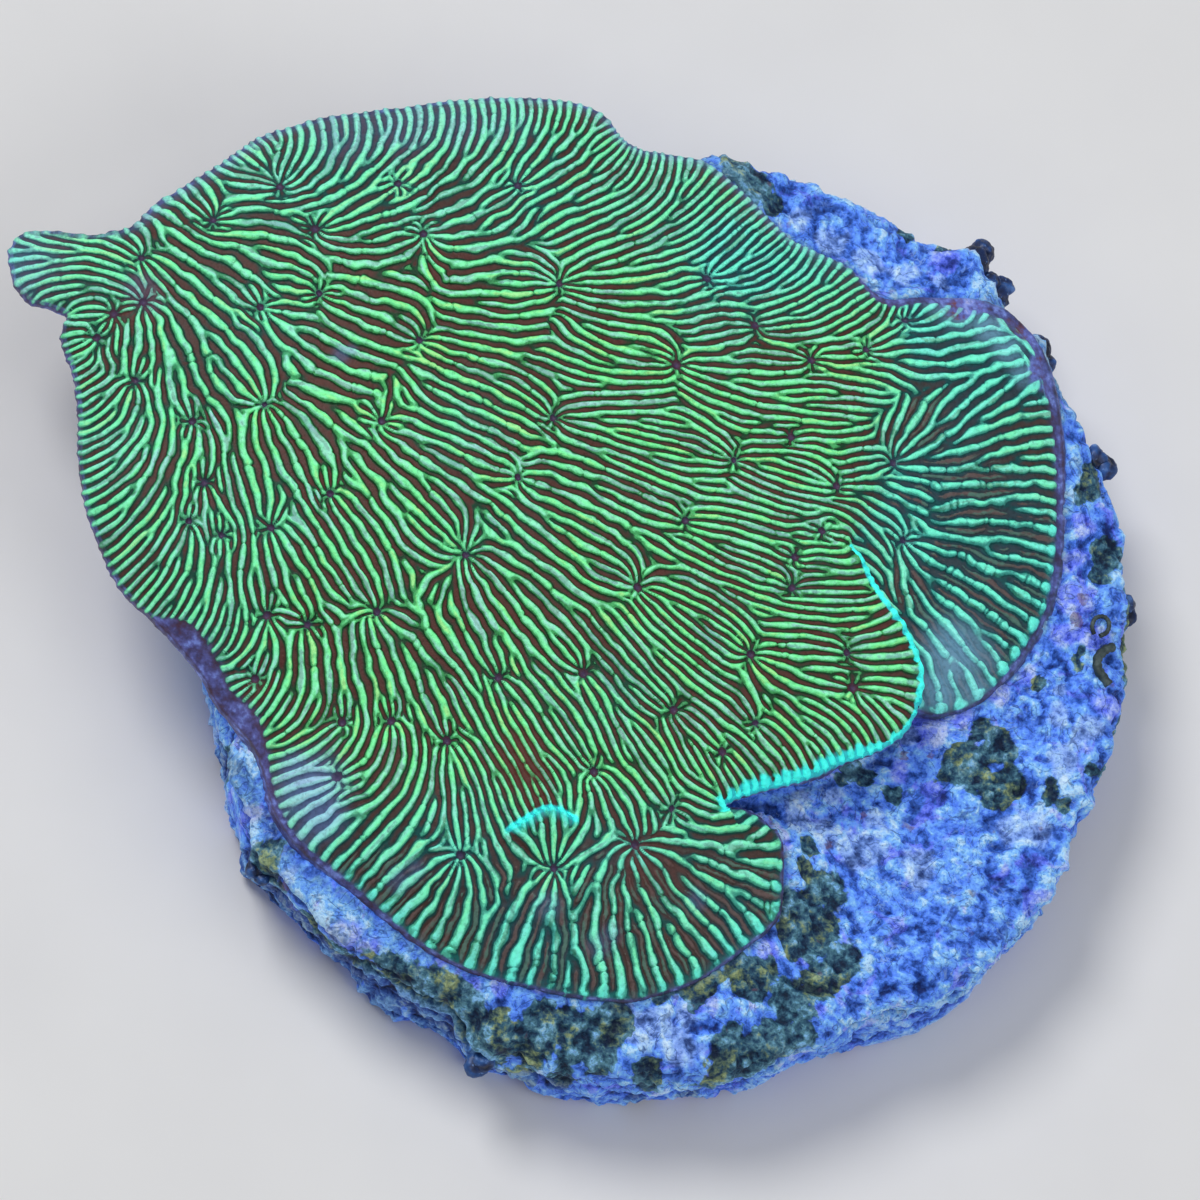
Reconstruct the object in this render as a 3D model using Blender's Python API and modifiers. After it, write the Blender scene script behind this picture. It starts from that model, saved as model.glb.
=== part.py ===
"""Pavona coral colony grown on a round, crusted frag disc.

Two solids: the flat round disc with its hard crust, and the coral skeleton
that spreads over it as a thin ridged plate.  Metres, +Z up, origin at the
centre of the disc's flat underside.
"""
import math

import bmesh
import bpy
from mathutils import Vector

MM = 0.001

# ---- driving dimensions (mm) -------------------------------------------------
DISC_RADIUS = 15.7          # mean radius of the disc with its crust
DISC_TOP = 5.0              # height of the disc's top face
DISC_SEAT_RADIUS = 14.4     # flat ring of the underside that it rests on
DISC_STEPS = 72             # facets around the disc
SEAT_GAP = 0.3              # clearance between disc and coral base

# Outer rim of the crust: slow out-of-round waves (order, amplitude, phase)
RIM_WAVES = ((2, 0.10, 0.4), (3, 0.14, 1.9), (5, 0.12, 0.3), (9, 0.08, 2.2))
# Lumps of crust standing out of the rim (angle, height, angular width)
RIM_LUMPS = ((51.0, 0.95, 4.0), (38.0, 0.45, 3.0), (1.0, 0.25, 3.0), (210.0, 0.45, 3.5), (246.0, 0.5, 4.0))
# Stretches where the rim is worn back, or the crust is thicker (angle, change, angular width)
RIM_WORN = ((358.0, -0.75, 14.0), (338.0, -0.35, 12.0), (230.0, -0.4, 7.0), (260.0, 0.25, 7.0), (290.0, -0.3, 9.0), (30.0, -0.3, 8.0))

PLATE_CENTRE = (-4.0, 3.2)  # middle of the colony in plan
PLATE_LOW = 6.8             # height of the colony's lower shoulders
PLATE_RISE = 2.9            # extra height of its crown
CROWN = (-7.0, 5.0)         # where the crown is
CROWN_WIDTH = (13.0, 11.0)  # how far it spreads in x and y
EDGE_ROLL = 5.0             # power of the fall towards the margin
OVERHANG_START = 14.3       # distance from the disc's axis where the underside lifts off
MARGIN_THICKNESS = 0.6      # thickness of the free margin
PLATE_SEGMENTS = 112        # points around the colony
PLATE_RINGS = 30            # rings from crown to base

# Margin of the colony in plan, anticlockwise from the right: x, y, height of the edge
MARGIN = (
    (12.9, 3.0, 5.9), (12.8, 7.4, 5.9), (11.0, 10.4, 5.9), (8.2, 10.9, 6.0), (5.8, 11.7, 6.1),
    (3.8, 12.7, 6.1), (1.6, 15.0, 6.2), (-1.5, 15.6, 6.5), (-3.2, 16.9, 6.6), (-5.7, 17.2, 6.6),
    (-10.4, 16.5, 6.6), (-13.1, 15.9, 6.7), (-14.8, 14.7, 6.8), (-17.5, 12.8, 7.2), (-18.8, 12.2, 7.4),
    (-21.3, 12.1, 7.0), (-22.4, 11.5, 6.6), (-22.1, 10.2, 6.7), (-20.8, 9.0, 7.1), (-20.2, 7.0, 7.2),
    (-20.1, 4.6, 7.1), (-19.6, 2.4, 7.0), (-18.6, 0.0, 6.7), (-16.9, -1.6, 6.3), (-15.9, -3.0, 6.1),
    (-14.6, -5.0, 6.0), (-13.7, -7.2, 5.9), (-11.9, -9.3, 5.9), (-9.0, -11.5, 5.9), (-5.8, -12.8, 5.9),
    (-2.2, -13.2, 5.9), (0.6, -12.4, 5.9), (2.6, -10.8, 5.9), (3.2, -8.6, 5.9), (3.4, -6.8, 6.6),
    (5.1, -5.6, 7.1), (6.9, -4.6, 7.1), (8.6, -3.7, 6.3), (10.6, -2.3, 5.9), (12.2, -0.2, 5.9),
)


def clear_scene():
    for ob in list(bpy.data.objects):
        bpy.data.objects.remove(ob, do_unlink=True)


def make_collection(name):
    col = bpy.data.collections.new(name)
    bpy.context.scene.collection.children.link(col)
    return col


def make_material(name, colour, roughness, metallic=0.0):
    mat = bpy.data.materials.new(name)
    mat.use_nodes = True
    bsdf = mat.node_tree.nodes["Principled BSDF"]
    bsdf.inputs["Base Color"].default_value = (*colour, 1.0)
    bsdf.inputs["Roughness"].default_value = roughness
    bsdf.inputs["Metallic"].default_value = metallic
    return mat


def smoothstep(t):
    t = max(0.0, min(1.0, t))
    return t * t * (3.0 - 2.0 * t)


def spline_loop(points, count):
    """Closed Catmull-Rom curve through the points, read at equal steps of length."""
    n = len(points)
    dense = []
    for i in range(n):
        p0, p1, p2, p3 = (Vector(points[(i + k - 1) % n]) for k in range(4))
        for k in range(12):
            t = k / 12.0
            dense.append(0.5 * (2.0 * p1 + (p2 - p0) * t + (2.0 * p0 - 5.0 * p1 + 4.0 * p2 - p3) * t ** 2
                                + (3.0 * p1 - p0 - 3.0 * p2 + p3) * t ** 3))
    lengths = [0.0]
    for a, b in zip(dense, dense[1:] + dense[:1]):
        lengths.append(lengths[-1] + (b.xy - a.xy).length)
    total = lengths[-1]
    out, j = [], 0
    for i in range(count):
        s = total * i / count
        while lengths[j + 1] < s:
            j += 1
        t = (s - lengths[j]) / (lengths[j + 1] - lengths[j])
        out.append(dense[j].lerp(dense[(j + 1) % len(dense)], t))
    return out


# ---- disc: a turned profile, then the crust's waves and lumps -----------------
def rim_offset(angle):
    off = sum(a * math.sin(k * angle + p) for k, a, p in RIM_WAVES)
    for deg, height, width in RIM_LUMPS + RIM_WORN:
        d = (math.degrees(angle) - deg + 180.0) % 360.0 - 180.0
        off += height * math.exp(-(d / width) ** 2)
    return off


def make_disc(col, mat):
    r = DISC_RADIUS
    profile = ((0.0, DISC_TOP), (r * 0.55, DISC_TOP), (r - 2.2, DISC_TOP), (r - 0.9, DISC_TOP - 0.05),
               (r - 0.25, DISC_TOP - 0.45), (r, DISC_TOP - 1.3), (r - 0.15, DISC_TOP - 2.4),
               (r - 0.05, DISC_TOP - 3.4), (r + 0.1, 1.0), (r - 0.1, 0.35), (DISC_SEAT_RADIUS, 0.0), (0.0, 0.0))
    mesh = bpy.data.meshes.new("frag_disc_profile")
    mesh.from_pydata([(x * MM, 0.0, z * MM) for x, z in profile], [(i, i + 1) for i in range(len(profile) - 1)], [])
    turned = bpy.data.objects.new("frag_disc_profile", mesh)
    col.objects.link(turned)
    screw = turned.modifiers.new("turn", "SCREW")
    screw.steps = DISC_STEPS
    screw.render_steps = DISC_STEPS
    screw.use_merge_vertices = True
    screw.merge_threshold = 0.00001
    bpy.context.view_layer.update()
    solid = bpy.data.meshes.new_from_object(turned.evaluated_get(bpy.context.evaluated_depsgraph_get()))
    bpy.data.objects.remove(turned, do_unlink=True)

    bm = bmesh.new()
    bm.from_mesh(solid)
    bmesh.ops.remove_doubles(bm, verts=bm.verts, dist=0.00001)
    inner = DISC_SEAT_RADIUS * MM
    for v in bm.verts:
        rad = v.co.xy.length
        if rad > 1e-6:
            grow = smoothstep((rad - 0.8 * inner) / (DISC_RADIUS * MM - 0.8 * inner))
            v.co.xy *= 1.0 + grow * rim_offset(math.atan2(v.co.y, v.co.x)) * MM / rad
    bmesh.ops.recalc_face_normals(bm, faces=bm.faces)
    bm.to_mesh(solid)
    bm.free()
    solid.shade_smooth()
    solid.set_sharp_from_angle(angle=math.radians(40.0))
    solid.name = "frag_disc"
    disc = bpy.data.objects.new("frag_disc", solid)
    disc.data.materials.append(mat)
    col.objects.link(disc)
    return disc


# ---- coral: a ball pressed out to the plate's margin ---------------------------
def crown_height(x, y):
    e = ((x - CROWN[0]) / CROWN_WIDTH[0]) ** 2 + ((y - CROWN[1]) / CROWN_WIDTH[1]) ** 2
    return PLATE_LOW + PLATE_RISE * math.exp(-e)


def coral_point(edge, rho, upper):
    cx, cy = PLATE_CENTRE
    x = cx + rho * (edge.x - cx)
    y = cy + rho * (edge.y - cy)
    if upper:
        return x, y, edge.z + (crown_height(x, y) - edge.z) * (1.0 - rho ** EDGE_ROLL)
    base = DISC_TOP + SEAT_GAP
    reach = math.hypot(edge.x, edge.y) - OVERHANG_START
    lift = 0.0
    if reach > 0.3:
        lift = smoothstep((math.hypot(x, y) - OVERHANG_START) / reach) * max(0.0, edge.z - MARGIN_THICKNESS - base)
    under = base + lift
    return x, y, under + (edge.z - under) * rho ** 20


def make_coral(col, mat):
    rim = spline_loop(MARGIN, PLATE_SEGMENTS)
    bm = bmesh.new()
    bmesh.ops.create_uvsphere(bm, u_segments=PLATE_SEGMENTS, v_segments=PLATE_RINGS, radius=1.0)
    for v in bm.verts:
        turn = (math.atan2(v.co.y, v.co.x) / (2.0 * math.pi)) % 1.0
        edge = rim[int(round(turn * PLATE_SEGMENTS)) % PLATE_SEGMENTS]
        rho = min(1.0, math.hypot(v.co.x, v.co.y))
        x, y, z = coral_point(edge, rho, v.co.z >= -1e-6)
        v.co = Vector((x, y, z)) * MM
    bmesh.ops.recalc_face_normals(bm, faces=bm.faces)
    mesh = bpy.data.meshes.new("coral_colony")
    bm.to_mesh(mesh)
    bm.free()
    mesh.shade_smooth()
    coral = bpy.data.objects.new("coral_colony", mesh)
    coral.data.materials.append(mat)
    col.objects.link(coral)
    return coral


def main():
    clear_scene()
    col = make_collection("pavona_coral")
    make_disc(col, make_material("crusted_disc", (0.16, 0.19, 0.58), 0.7))
    make_coral(col, make_material("coral_skeleton", (0.04, 0.75, 0.22), 0.55))


main()
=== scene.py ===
"""Pavona coral colony on its crusted frag disc: the finished look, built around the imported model."""
import math
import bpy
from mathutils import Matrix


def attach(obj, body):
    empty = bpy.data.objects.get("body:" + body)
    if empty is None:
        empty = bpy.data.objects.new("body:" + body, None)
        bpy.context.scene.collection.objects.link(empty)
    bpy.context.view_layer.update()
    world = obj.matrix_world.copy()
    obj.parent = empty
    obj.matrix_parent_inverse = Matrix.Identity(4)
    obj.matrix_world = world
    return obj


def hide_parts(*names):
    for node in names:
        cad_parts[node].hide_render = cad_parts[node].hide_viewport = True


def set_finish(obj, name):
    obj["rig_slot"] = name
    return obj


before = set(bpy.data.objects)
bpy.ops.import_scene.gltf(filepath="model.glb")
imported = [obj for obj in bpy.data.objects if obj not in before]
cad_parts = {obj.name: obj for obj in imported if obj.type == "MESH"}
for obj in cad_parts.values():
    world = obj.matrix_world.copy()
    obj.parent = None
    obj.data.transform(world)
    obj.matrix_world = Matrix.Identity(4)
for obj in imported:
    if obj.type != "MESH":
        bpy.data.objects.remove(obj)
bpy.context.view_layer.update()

from concurrent.futures import ThreadPoolExecutor

import bmesh
import bpy
import numpy as np
from mathutils import Matrix, Vector

MM = 0.001
POOL = ThreadPoolExecutor(4)

# =============================================================================
# Shape tables, in mm, in the frame's plan (x right, y up)
# =============================================================================
# Margin of the colony: x, y, how far the edge rolls down, rib-free width, edge thickness
OUTER_A = ((-22.36, 11.57, 0.35, 0, 0.42), (-22.03, 12.05, 0.35, 0, 0.42), (-21.23, 12.13, 0.35, 0, 0.42), (-19.8, 11.81, 0.35, 0, 0.42), (-18.5, 12.09, 0.35, 0, 0.42), (-17.53, 13.08, 0.55, -0.02, 0.5), (-16.16, 14.04, 0.55, -0.02, 0.5), (-14.79, 15.04, 0.55, -0.02, 0.5), (-13.88, 15.69, 0.55, -0.02, 0.5), (-13.01, 16, 0.55, -0.02, 0.5), (-11.67, 16.38, 0.55, -0.02, 0.5), (-10.33, 16.59, 0.55, -0.02, 0.5), (-7.95, 17.04, 0.55, -0.02, 0.5), (-5.59, 17.29, 0.55, -0.02, 0.5), (-3.89, 17.25, 0.55, -0.02, 0.5), (-2.87, 17.05, 0.55, -0.02, 0.5), (-2.27, 16.66, 0.55, -0.02, 0.5), (-1.88, 16.02, 0.55, -0.02, 0.5), (-1.2, 15.65, 0.55, -0.02, 0.5), (-0.5, 15.61, 0.55, -0.02, 0.5), (0.84, 15.44, 0.45, -0.02, 0.5), (1.52, 15.04, 0.45, -0.02, 0.5), (2.18, 14.43, 0.45, -0.02, 0.5), (3.01, 13.59, 0.45, -0.02, 0.5), (3.86, 12.76, 0.45, -0.02, 0.5), (4.89, 12.31, 0.45, -0.02, 0.5), (5.91, 11.83, 0.45, -0.02, 0.5), (6.83, 10.69, 0.2, 0.26, 0.5), (8.14, 10.76, 0.2, 0.26, 0.5), (9.61, 10.83, 0.2, 0.26, 0.5), (11.03, 10.61, 0.2, 0.26, 0.5), (11.71, 10.07, 0.2, 0.26, 0.5), (12.36, 9.25, 0.2, 0.26, 0.5), (12.8, 7.49, 0.2, 0.26, 0.5), (12.97, 5.42, 0.2, 0.26, 0.5), (12.93, 3.14, 0.2, 0.26, 0.5), (12.76, 1.5, 0.2, 0.26, 0.5), (12.3, 0.04, 0.2, 0.14, 0.5), (11.54, -1.22, 0.2, 0.14, 0.5), (10.93, -2.08, 0.2, 0.14, 0.5), (10.27, -2.75, 0.2, 0.14, 0.5), (9.47, -3.24, 0.2, 0.05, 0.5), (8.44, -3.54, 0.2, 0.05, 0.5))
OUTER_B = ((1.67, -6.89, 0.18, 0.08, 0.5), (2.38, -7.18, 0.18, 0.08, 0.5), (2.94, -7.84, 0.18, 0.06, 0.5), (3.09, -8.5, 0.18, 0.06, 0.5), (3.04, -10.07, 0.18, 0.05, 0.5), (2.63, -10.74, 0.18, 0.05, 0.5), (2.01, -11.26, 0.18, 0.05, 0.5), (0.28, -12.5, 0.18, 0.05, 0.5), (-1.73, -13.21, 0.18, 0.04, 0.5), (-3.06, -13.23, 0.18, 0.04, 0.5), (-4.38, -13.08, 0.18, 0.04, 0.5), (-7.02, -12.45, 0.18, 0.05, 0.5), (-8.98, -11.48, 0.18, 0.06, 0.5), (-10.94, -10.02, 0.18, 0.14, 0.5), (-12.89, -8.38, 0.18, 0.14, 0.5), (-13.7, -7.22, 0.18, 0.14, 0.5), (-14.03, -6.09, 0.18, 0.14, 0.5), (-14.38, -5.14, 0.22, 0.32, 0.5), (-14.87, -4.49, 0.22, 0.58, 0.5), (-15.69, -3.52, 0.22, 0.48, 0.5), (-16.03, -2.89, 0.22, 0.52, 0.5), (-17.03, -1.7, 0.22, 0.62, 0.5), (-17.84, -0.9, 0.22, 0, 0.5), (-18.63, -0.07, 0.5, 0, 0.45), (-19.13, 0.73, 0.5, 0, 0.45), (-19.72, 1.98, 0.5, 0, 0.45), (-20.0, 2.95, 0.5, 0, 0.45), (-20.15, 4.17, 0.5, 0, 0.45), (-20.12, 5.37, 0.5, 0, 0.45), (-20.17, 6.36, 0.5, 0, 0.45), (-20.37, 7.35, 0.5, 0, 0.45), (-20.66, 8.21, 0.5, 0, 0.45), (-20.68, 8.7, 0.45, 0, 0.45), (-20.55, 9.12, 0.45, 0, 0.45), (-21.18, 9.49, 0.45, 0, 0.45), (-21.75, 9.75, 0.45, 0, 0.45), (-22.25, 10.43, 0.45, 0, 0.45))
# Free raised edge of the main plate above the right fan
LIP = (
    (5.16, 1.63), (5.56, 1.21), (5.89, 0.49), (6.33, -0.16), (6.9, -0.86), (7.34, -1.77), (7.54, -2.49), (7.53, -3.09),
    (7.35, -3.82), (6.97, -4.43), (6.12, -5.05), (5.11, -5.47), (3.45, -6.14), (2.11, -6.49), (0.94, -6.91),
)
# Middles of the corallites
CORALLITES = (
    (-13.59, 13.51), (-9.65, 13.73), (-5.65, 13.8), (-15.79, 12.33), (-12.49, 11.96), (-8.91, 11.84), (-18.19, 10.96), (-18.16, 9.39),
    (-14.33, 9.21), (-12.4, 9.7), (-4.46, 10.18), (0.67, 10.8), (7.51, 9.82), (2.2, 9.13), (-9.14, 8.07), (6.1, 8.66),
    (4.08, 8.02), (-0.57, 7.54), (-18.4, 6.76), (-14.28, 5.82), (-4.81, 5.5), (-16.6, 5.32), (-10.5, 5.22), (3.25, 5.22),
    (1.27, 4.32), (6.88, 4.75), (-6.02, 3.4), (-16.23, 3.24), (4.77, 3.65), (-12.19, 2.78), (-0.41, 2.22), (-16.71, 1.98),
    (-14.08, 1.7), (-15.68, 1.5), (4.23, 2.07), (7.22, 2.18), (3.26, 1.14), (-7.8, 0.76), (3.17, 0.09), (-2.1, -0.14),
    (-10.65, -1.08), (-14.16, -1.04), (-12.85, -1.38), (1.7, -2.19), (5, -1.97), (-3.88, -3.01), (-6.69, -3.17), (-14.46, -2.97),
    (5.19, -3.12), (-0.88, -4.09), (-10.15, -4.56), (-11.71, -4.57), (1.89, -4.4), (-8.33, -5.18), (0.78, -5.38), (-3.52, -6.12),
    (-11.83, -6.3), (-0.86, -7.19), (-2.1, -8.41), (-7.87, -8.83), (-4.76, -9.21),
    (-19.11, 8.99), (-19.64, 8.24),
)
# Surface heights: x, y, z
PLATE_HEIGHTS = (
    (-21.5, 10.8, 7.2), (-19.9, 10.5, 7.9), (-18.2, 9.4, 8.3), (-16.3, 10.8, 8.3), (-13.6, 13.5, 8), (-9.6, 13.7, 8.1),
    (-5.7, 13.8, 8), (-2.9, 13.4, 7.7), (0.5, 11.9, 7.4), (3.6, 10.3, 7.2), (5.6, 10.4, 7), (6.6, 9, 7.2),
    (-14.3, 9.2, 8.8), (-9.1, 8.1, 9.1), (-4.4, 10.2, 8.7), (-0.5, 7.5, 8.7), (2.2, 9.1, 8.2), (-18.4, 6.8, 8.2),
    (-16.7, 5.3, 8.4), (-19, 2.7, 8), (-14.3, 5.8, 8.9), (-12.2, 2.8, 9.2), (-4.8, 5.5, 9.3), (-7.8, 0.8, 9.3),
    (1.3, 4.3, 8.8), (-0.4, 2.2, 9), (-16.7, 2, 8.3), (-14.2, -1, 8.1), (-17, -0.5, 7.4), (-10.7, -1.1, 8.8),
    (-2.1, -0.1, 9.1), (1.7, -2.2, 8.7), (5, -2, 8.2), (7.1, -2.5, 7.8), (6.1, -4.7, 7.7), (3.4, -5.6, 7.7),
    (1.1, -6.6, 7.5), (-3.5, -6.1, 8.3), (-8.3, -5.2, 8.2), (-11.7, -4.6, 7.8), (-14.5, -3, 7.2), (-15.2, -4.2, 6.4),
    (-11.8, -6.3, 7.3), (-13, -7.5, 6.3), (-7.9, -8.8, 7.6), (-4.8, -9.2, 7.4), (-2.1, -8.4, 7.6), (0.1, -8.1, 7),
    (2.6, -8.9, 6), (-9, -11.1, 6.1), (-4.4, -12.8, 6), (0.2, -11.9, 6), (-11, -9.5, 6.2), (-13.9, -6.5, 6.1),
    (-1.6, -10.2, 7), (-6.5, -10.6, 6.9), (-20.2, 5.2, 7.4), (-19.2, 0.9, 7.2), (-14.8, 14.4, 7.2), (-8.1, 16.5, 7.1),
    (-3, 16.5, 7), (-0.7, 15, 6.8), (2.1, 13.9, 6.6), (5.8, 11.3, 6.4),
)
FAN_HEIGHTS = (
    (6.6, 9.8, 6.9), (7.5, 9.8, 7), (9.5, 10.4, 6.2), (6.1, 8.7, 7.3), (9.4, 8.9, 6.6), (11.9, 8, 6.1),
    (5.3, 1.9, 7.7), (5.3, 5.3, 7.9), (4.8, 3.6, 7.9), (6.9, 4.8, 7.4), (7.2, 2.2, 7.2), (12.5, 5.3, 6),
    (12.4, 1.9, 5.9), (10.6, 3.7, 6.6), (11.3, -0.9, 5.9), (9.2, -3, 5.9), (8.1, -1.1, 6.4), (7.1, 0.2, 6.8),
    (8.5, 0.9, 6.7), (6.4, -0.5, 6.7), (7.1, -2.4, 6.2), (7.1, -3.7, 5.9), (5.7, -1.8, 6.5),
)
# Distance between neighbouring ridges: x, y, spacing
SPACING = (
    (-19.26, 4.41, 0.3), (-19.54, 1.19, 0.27), (-17.98, 7.68, 0.64), (-16.34, 9.73, 0.57), (-18, 3.31, 0.44), (-15.1, 4.59, 0.44),
    (-15.07, 7.63, 0.54), (-13.16, 5.22, 0.57), (-12.16, 7.27, 0.57), (-10.58, 4.54, 0.57), (-16.29, 11.17, 0.56), (-13.05, 11.12, 0.51),
    (-11.32, 12.99, 0.44), (-13.49, 14.96, 0.34), (-11.2, 14.93, 0.4), (-8.11, 16.19, 0.32), (-8.31, 13.09, 0.54), (-8.08, 10.89, 0.49),
    (-6.25, 13.93, 0.37), (-4.04, 16.71, 0.3), (-4.16, 14.81, 0.4), (-2.04, 15.38, 0.27), (-1.1, 13.6, 0.3), (-3, 11.17, 0.35),
    (-1.76, 9.06, 0.4), (0.29, 9.17, 0.44), (2.01, 13.14, 0.27), (4.02, 11.49, 0.29), (5.58, 9.99, 0.34), (-5.85, 8.12, 0.42),
    (-8.59, 5.25, 0.42), (-3.21, 6.83, 0.34), (-4.64, 4.34, 0.49), (-1.93, 4.81, 0.29), (0.11, 5.26, 0.33), (2.19, 6.4, 0.37),
    (3.14, 4.04, 0.3), (2.75, 2.3, 0.29), (4.59, 5.87, 0.29), (6.05, 6.72, 0.37), (7.79, 6.17, 0.51), (9.93, 6.37, 0.47),
    (11.97, 4.75, 0.47), (9.06, 3.45, 0.61), (10.42, 2.17, 0.67), (8.58, -0.03, 0.57), (10.7, 0.13, 0.64), (7.84, -2.09, 0.71),
    (9.58, -2.64, 0.57), (-8.31, 2.54, 0.45), (-9.95, 1.2, 0.4), (-12.21, 0.57, 0.39), (-13.81, 0.29, 0.4), (-16.36, 0.71, 0.37),
    (-17.6, -0.15, 0.3), (-15.33, -1.8, 0.3), (-13.1, -2.54, 0.4), (-11.53, -2.3, 0.52), (-9.92, -2.66, 0.47), (-8.3, -2.02, 0.51),
    (-7.64, -3.3, 0.34), (-6.02, -1.36, 0.44), (-4.04, -1.32, 0.4), (-2.68, 1.37, 0.44), (0.64, -0.51, 0.32), (-1.72, -2.24, 0.32),
    (-0.05, -3.17, 0.32), (2, -0.45, 0.34), (1.97, -3.41, 0.47), (4.75, -0.28, 0.32), (6.11, -1.54, 0.34), (6.08, -3.53, 0.3),
    (3.36, -4.94, 0.3), (0.03, -6.31, 0.3), (-2.03, -5.15, 0.31), (-4.69, -4.57, 0.37), (-6.64, -5.23, 0.29), (-9.25, -3.93, 0.44),
    (-10.5, -6.46, 0.4), (-8.9, -6.82, 0.35), (-7.29, -6.84, 0.32), (-5.99, -6.19, 0.27), (-13.04, -4.72, 0.32), (-14.62, -3.97, 0.34),
    (-13.6, -6.52, 0.37), (-12.02, -7.9, 0.51), (-10.09, -8.93, 0.57), (-8.46, -10.22, 0.61), (-6.48, -11.16, 0.57), (-4.53, -10.84, 0.64),
    (-2.55, -11.13, 0.61), (-0.51, -11.04, 0.57), (1.59, -9.58, 0.64), (0.15, -8.76, 0.57), (-1.93, -9.56, 0.54), (-20.03, 8.51, 0.27), (-19.77, 7.87, 0.28), (-20.17, 7.52, 0.28), (-19.37, 8.63, 0.28),
)
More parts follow.
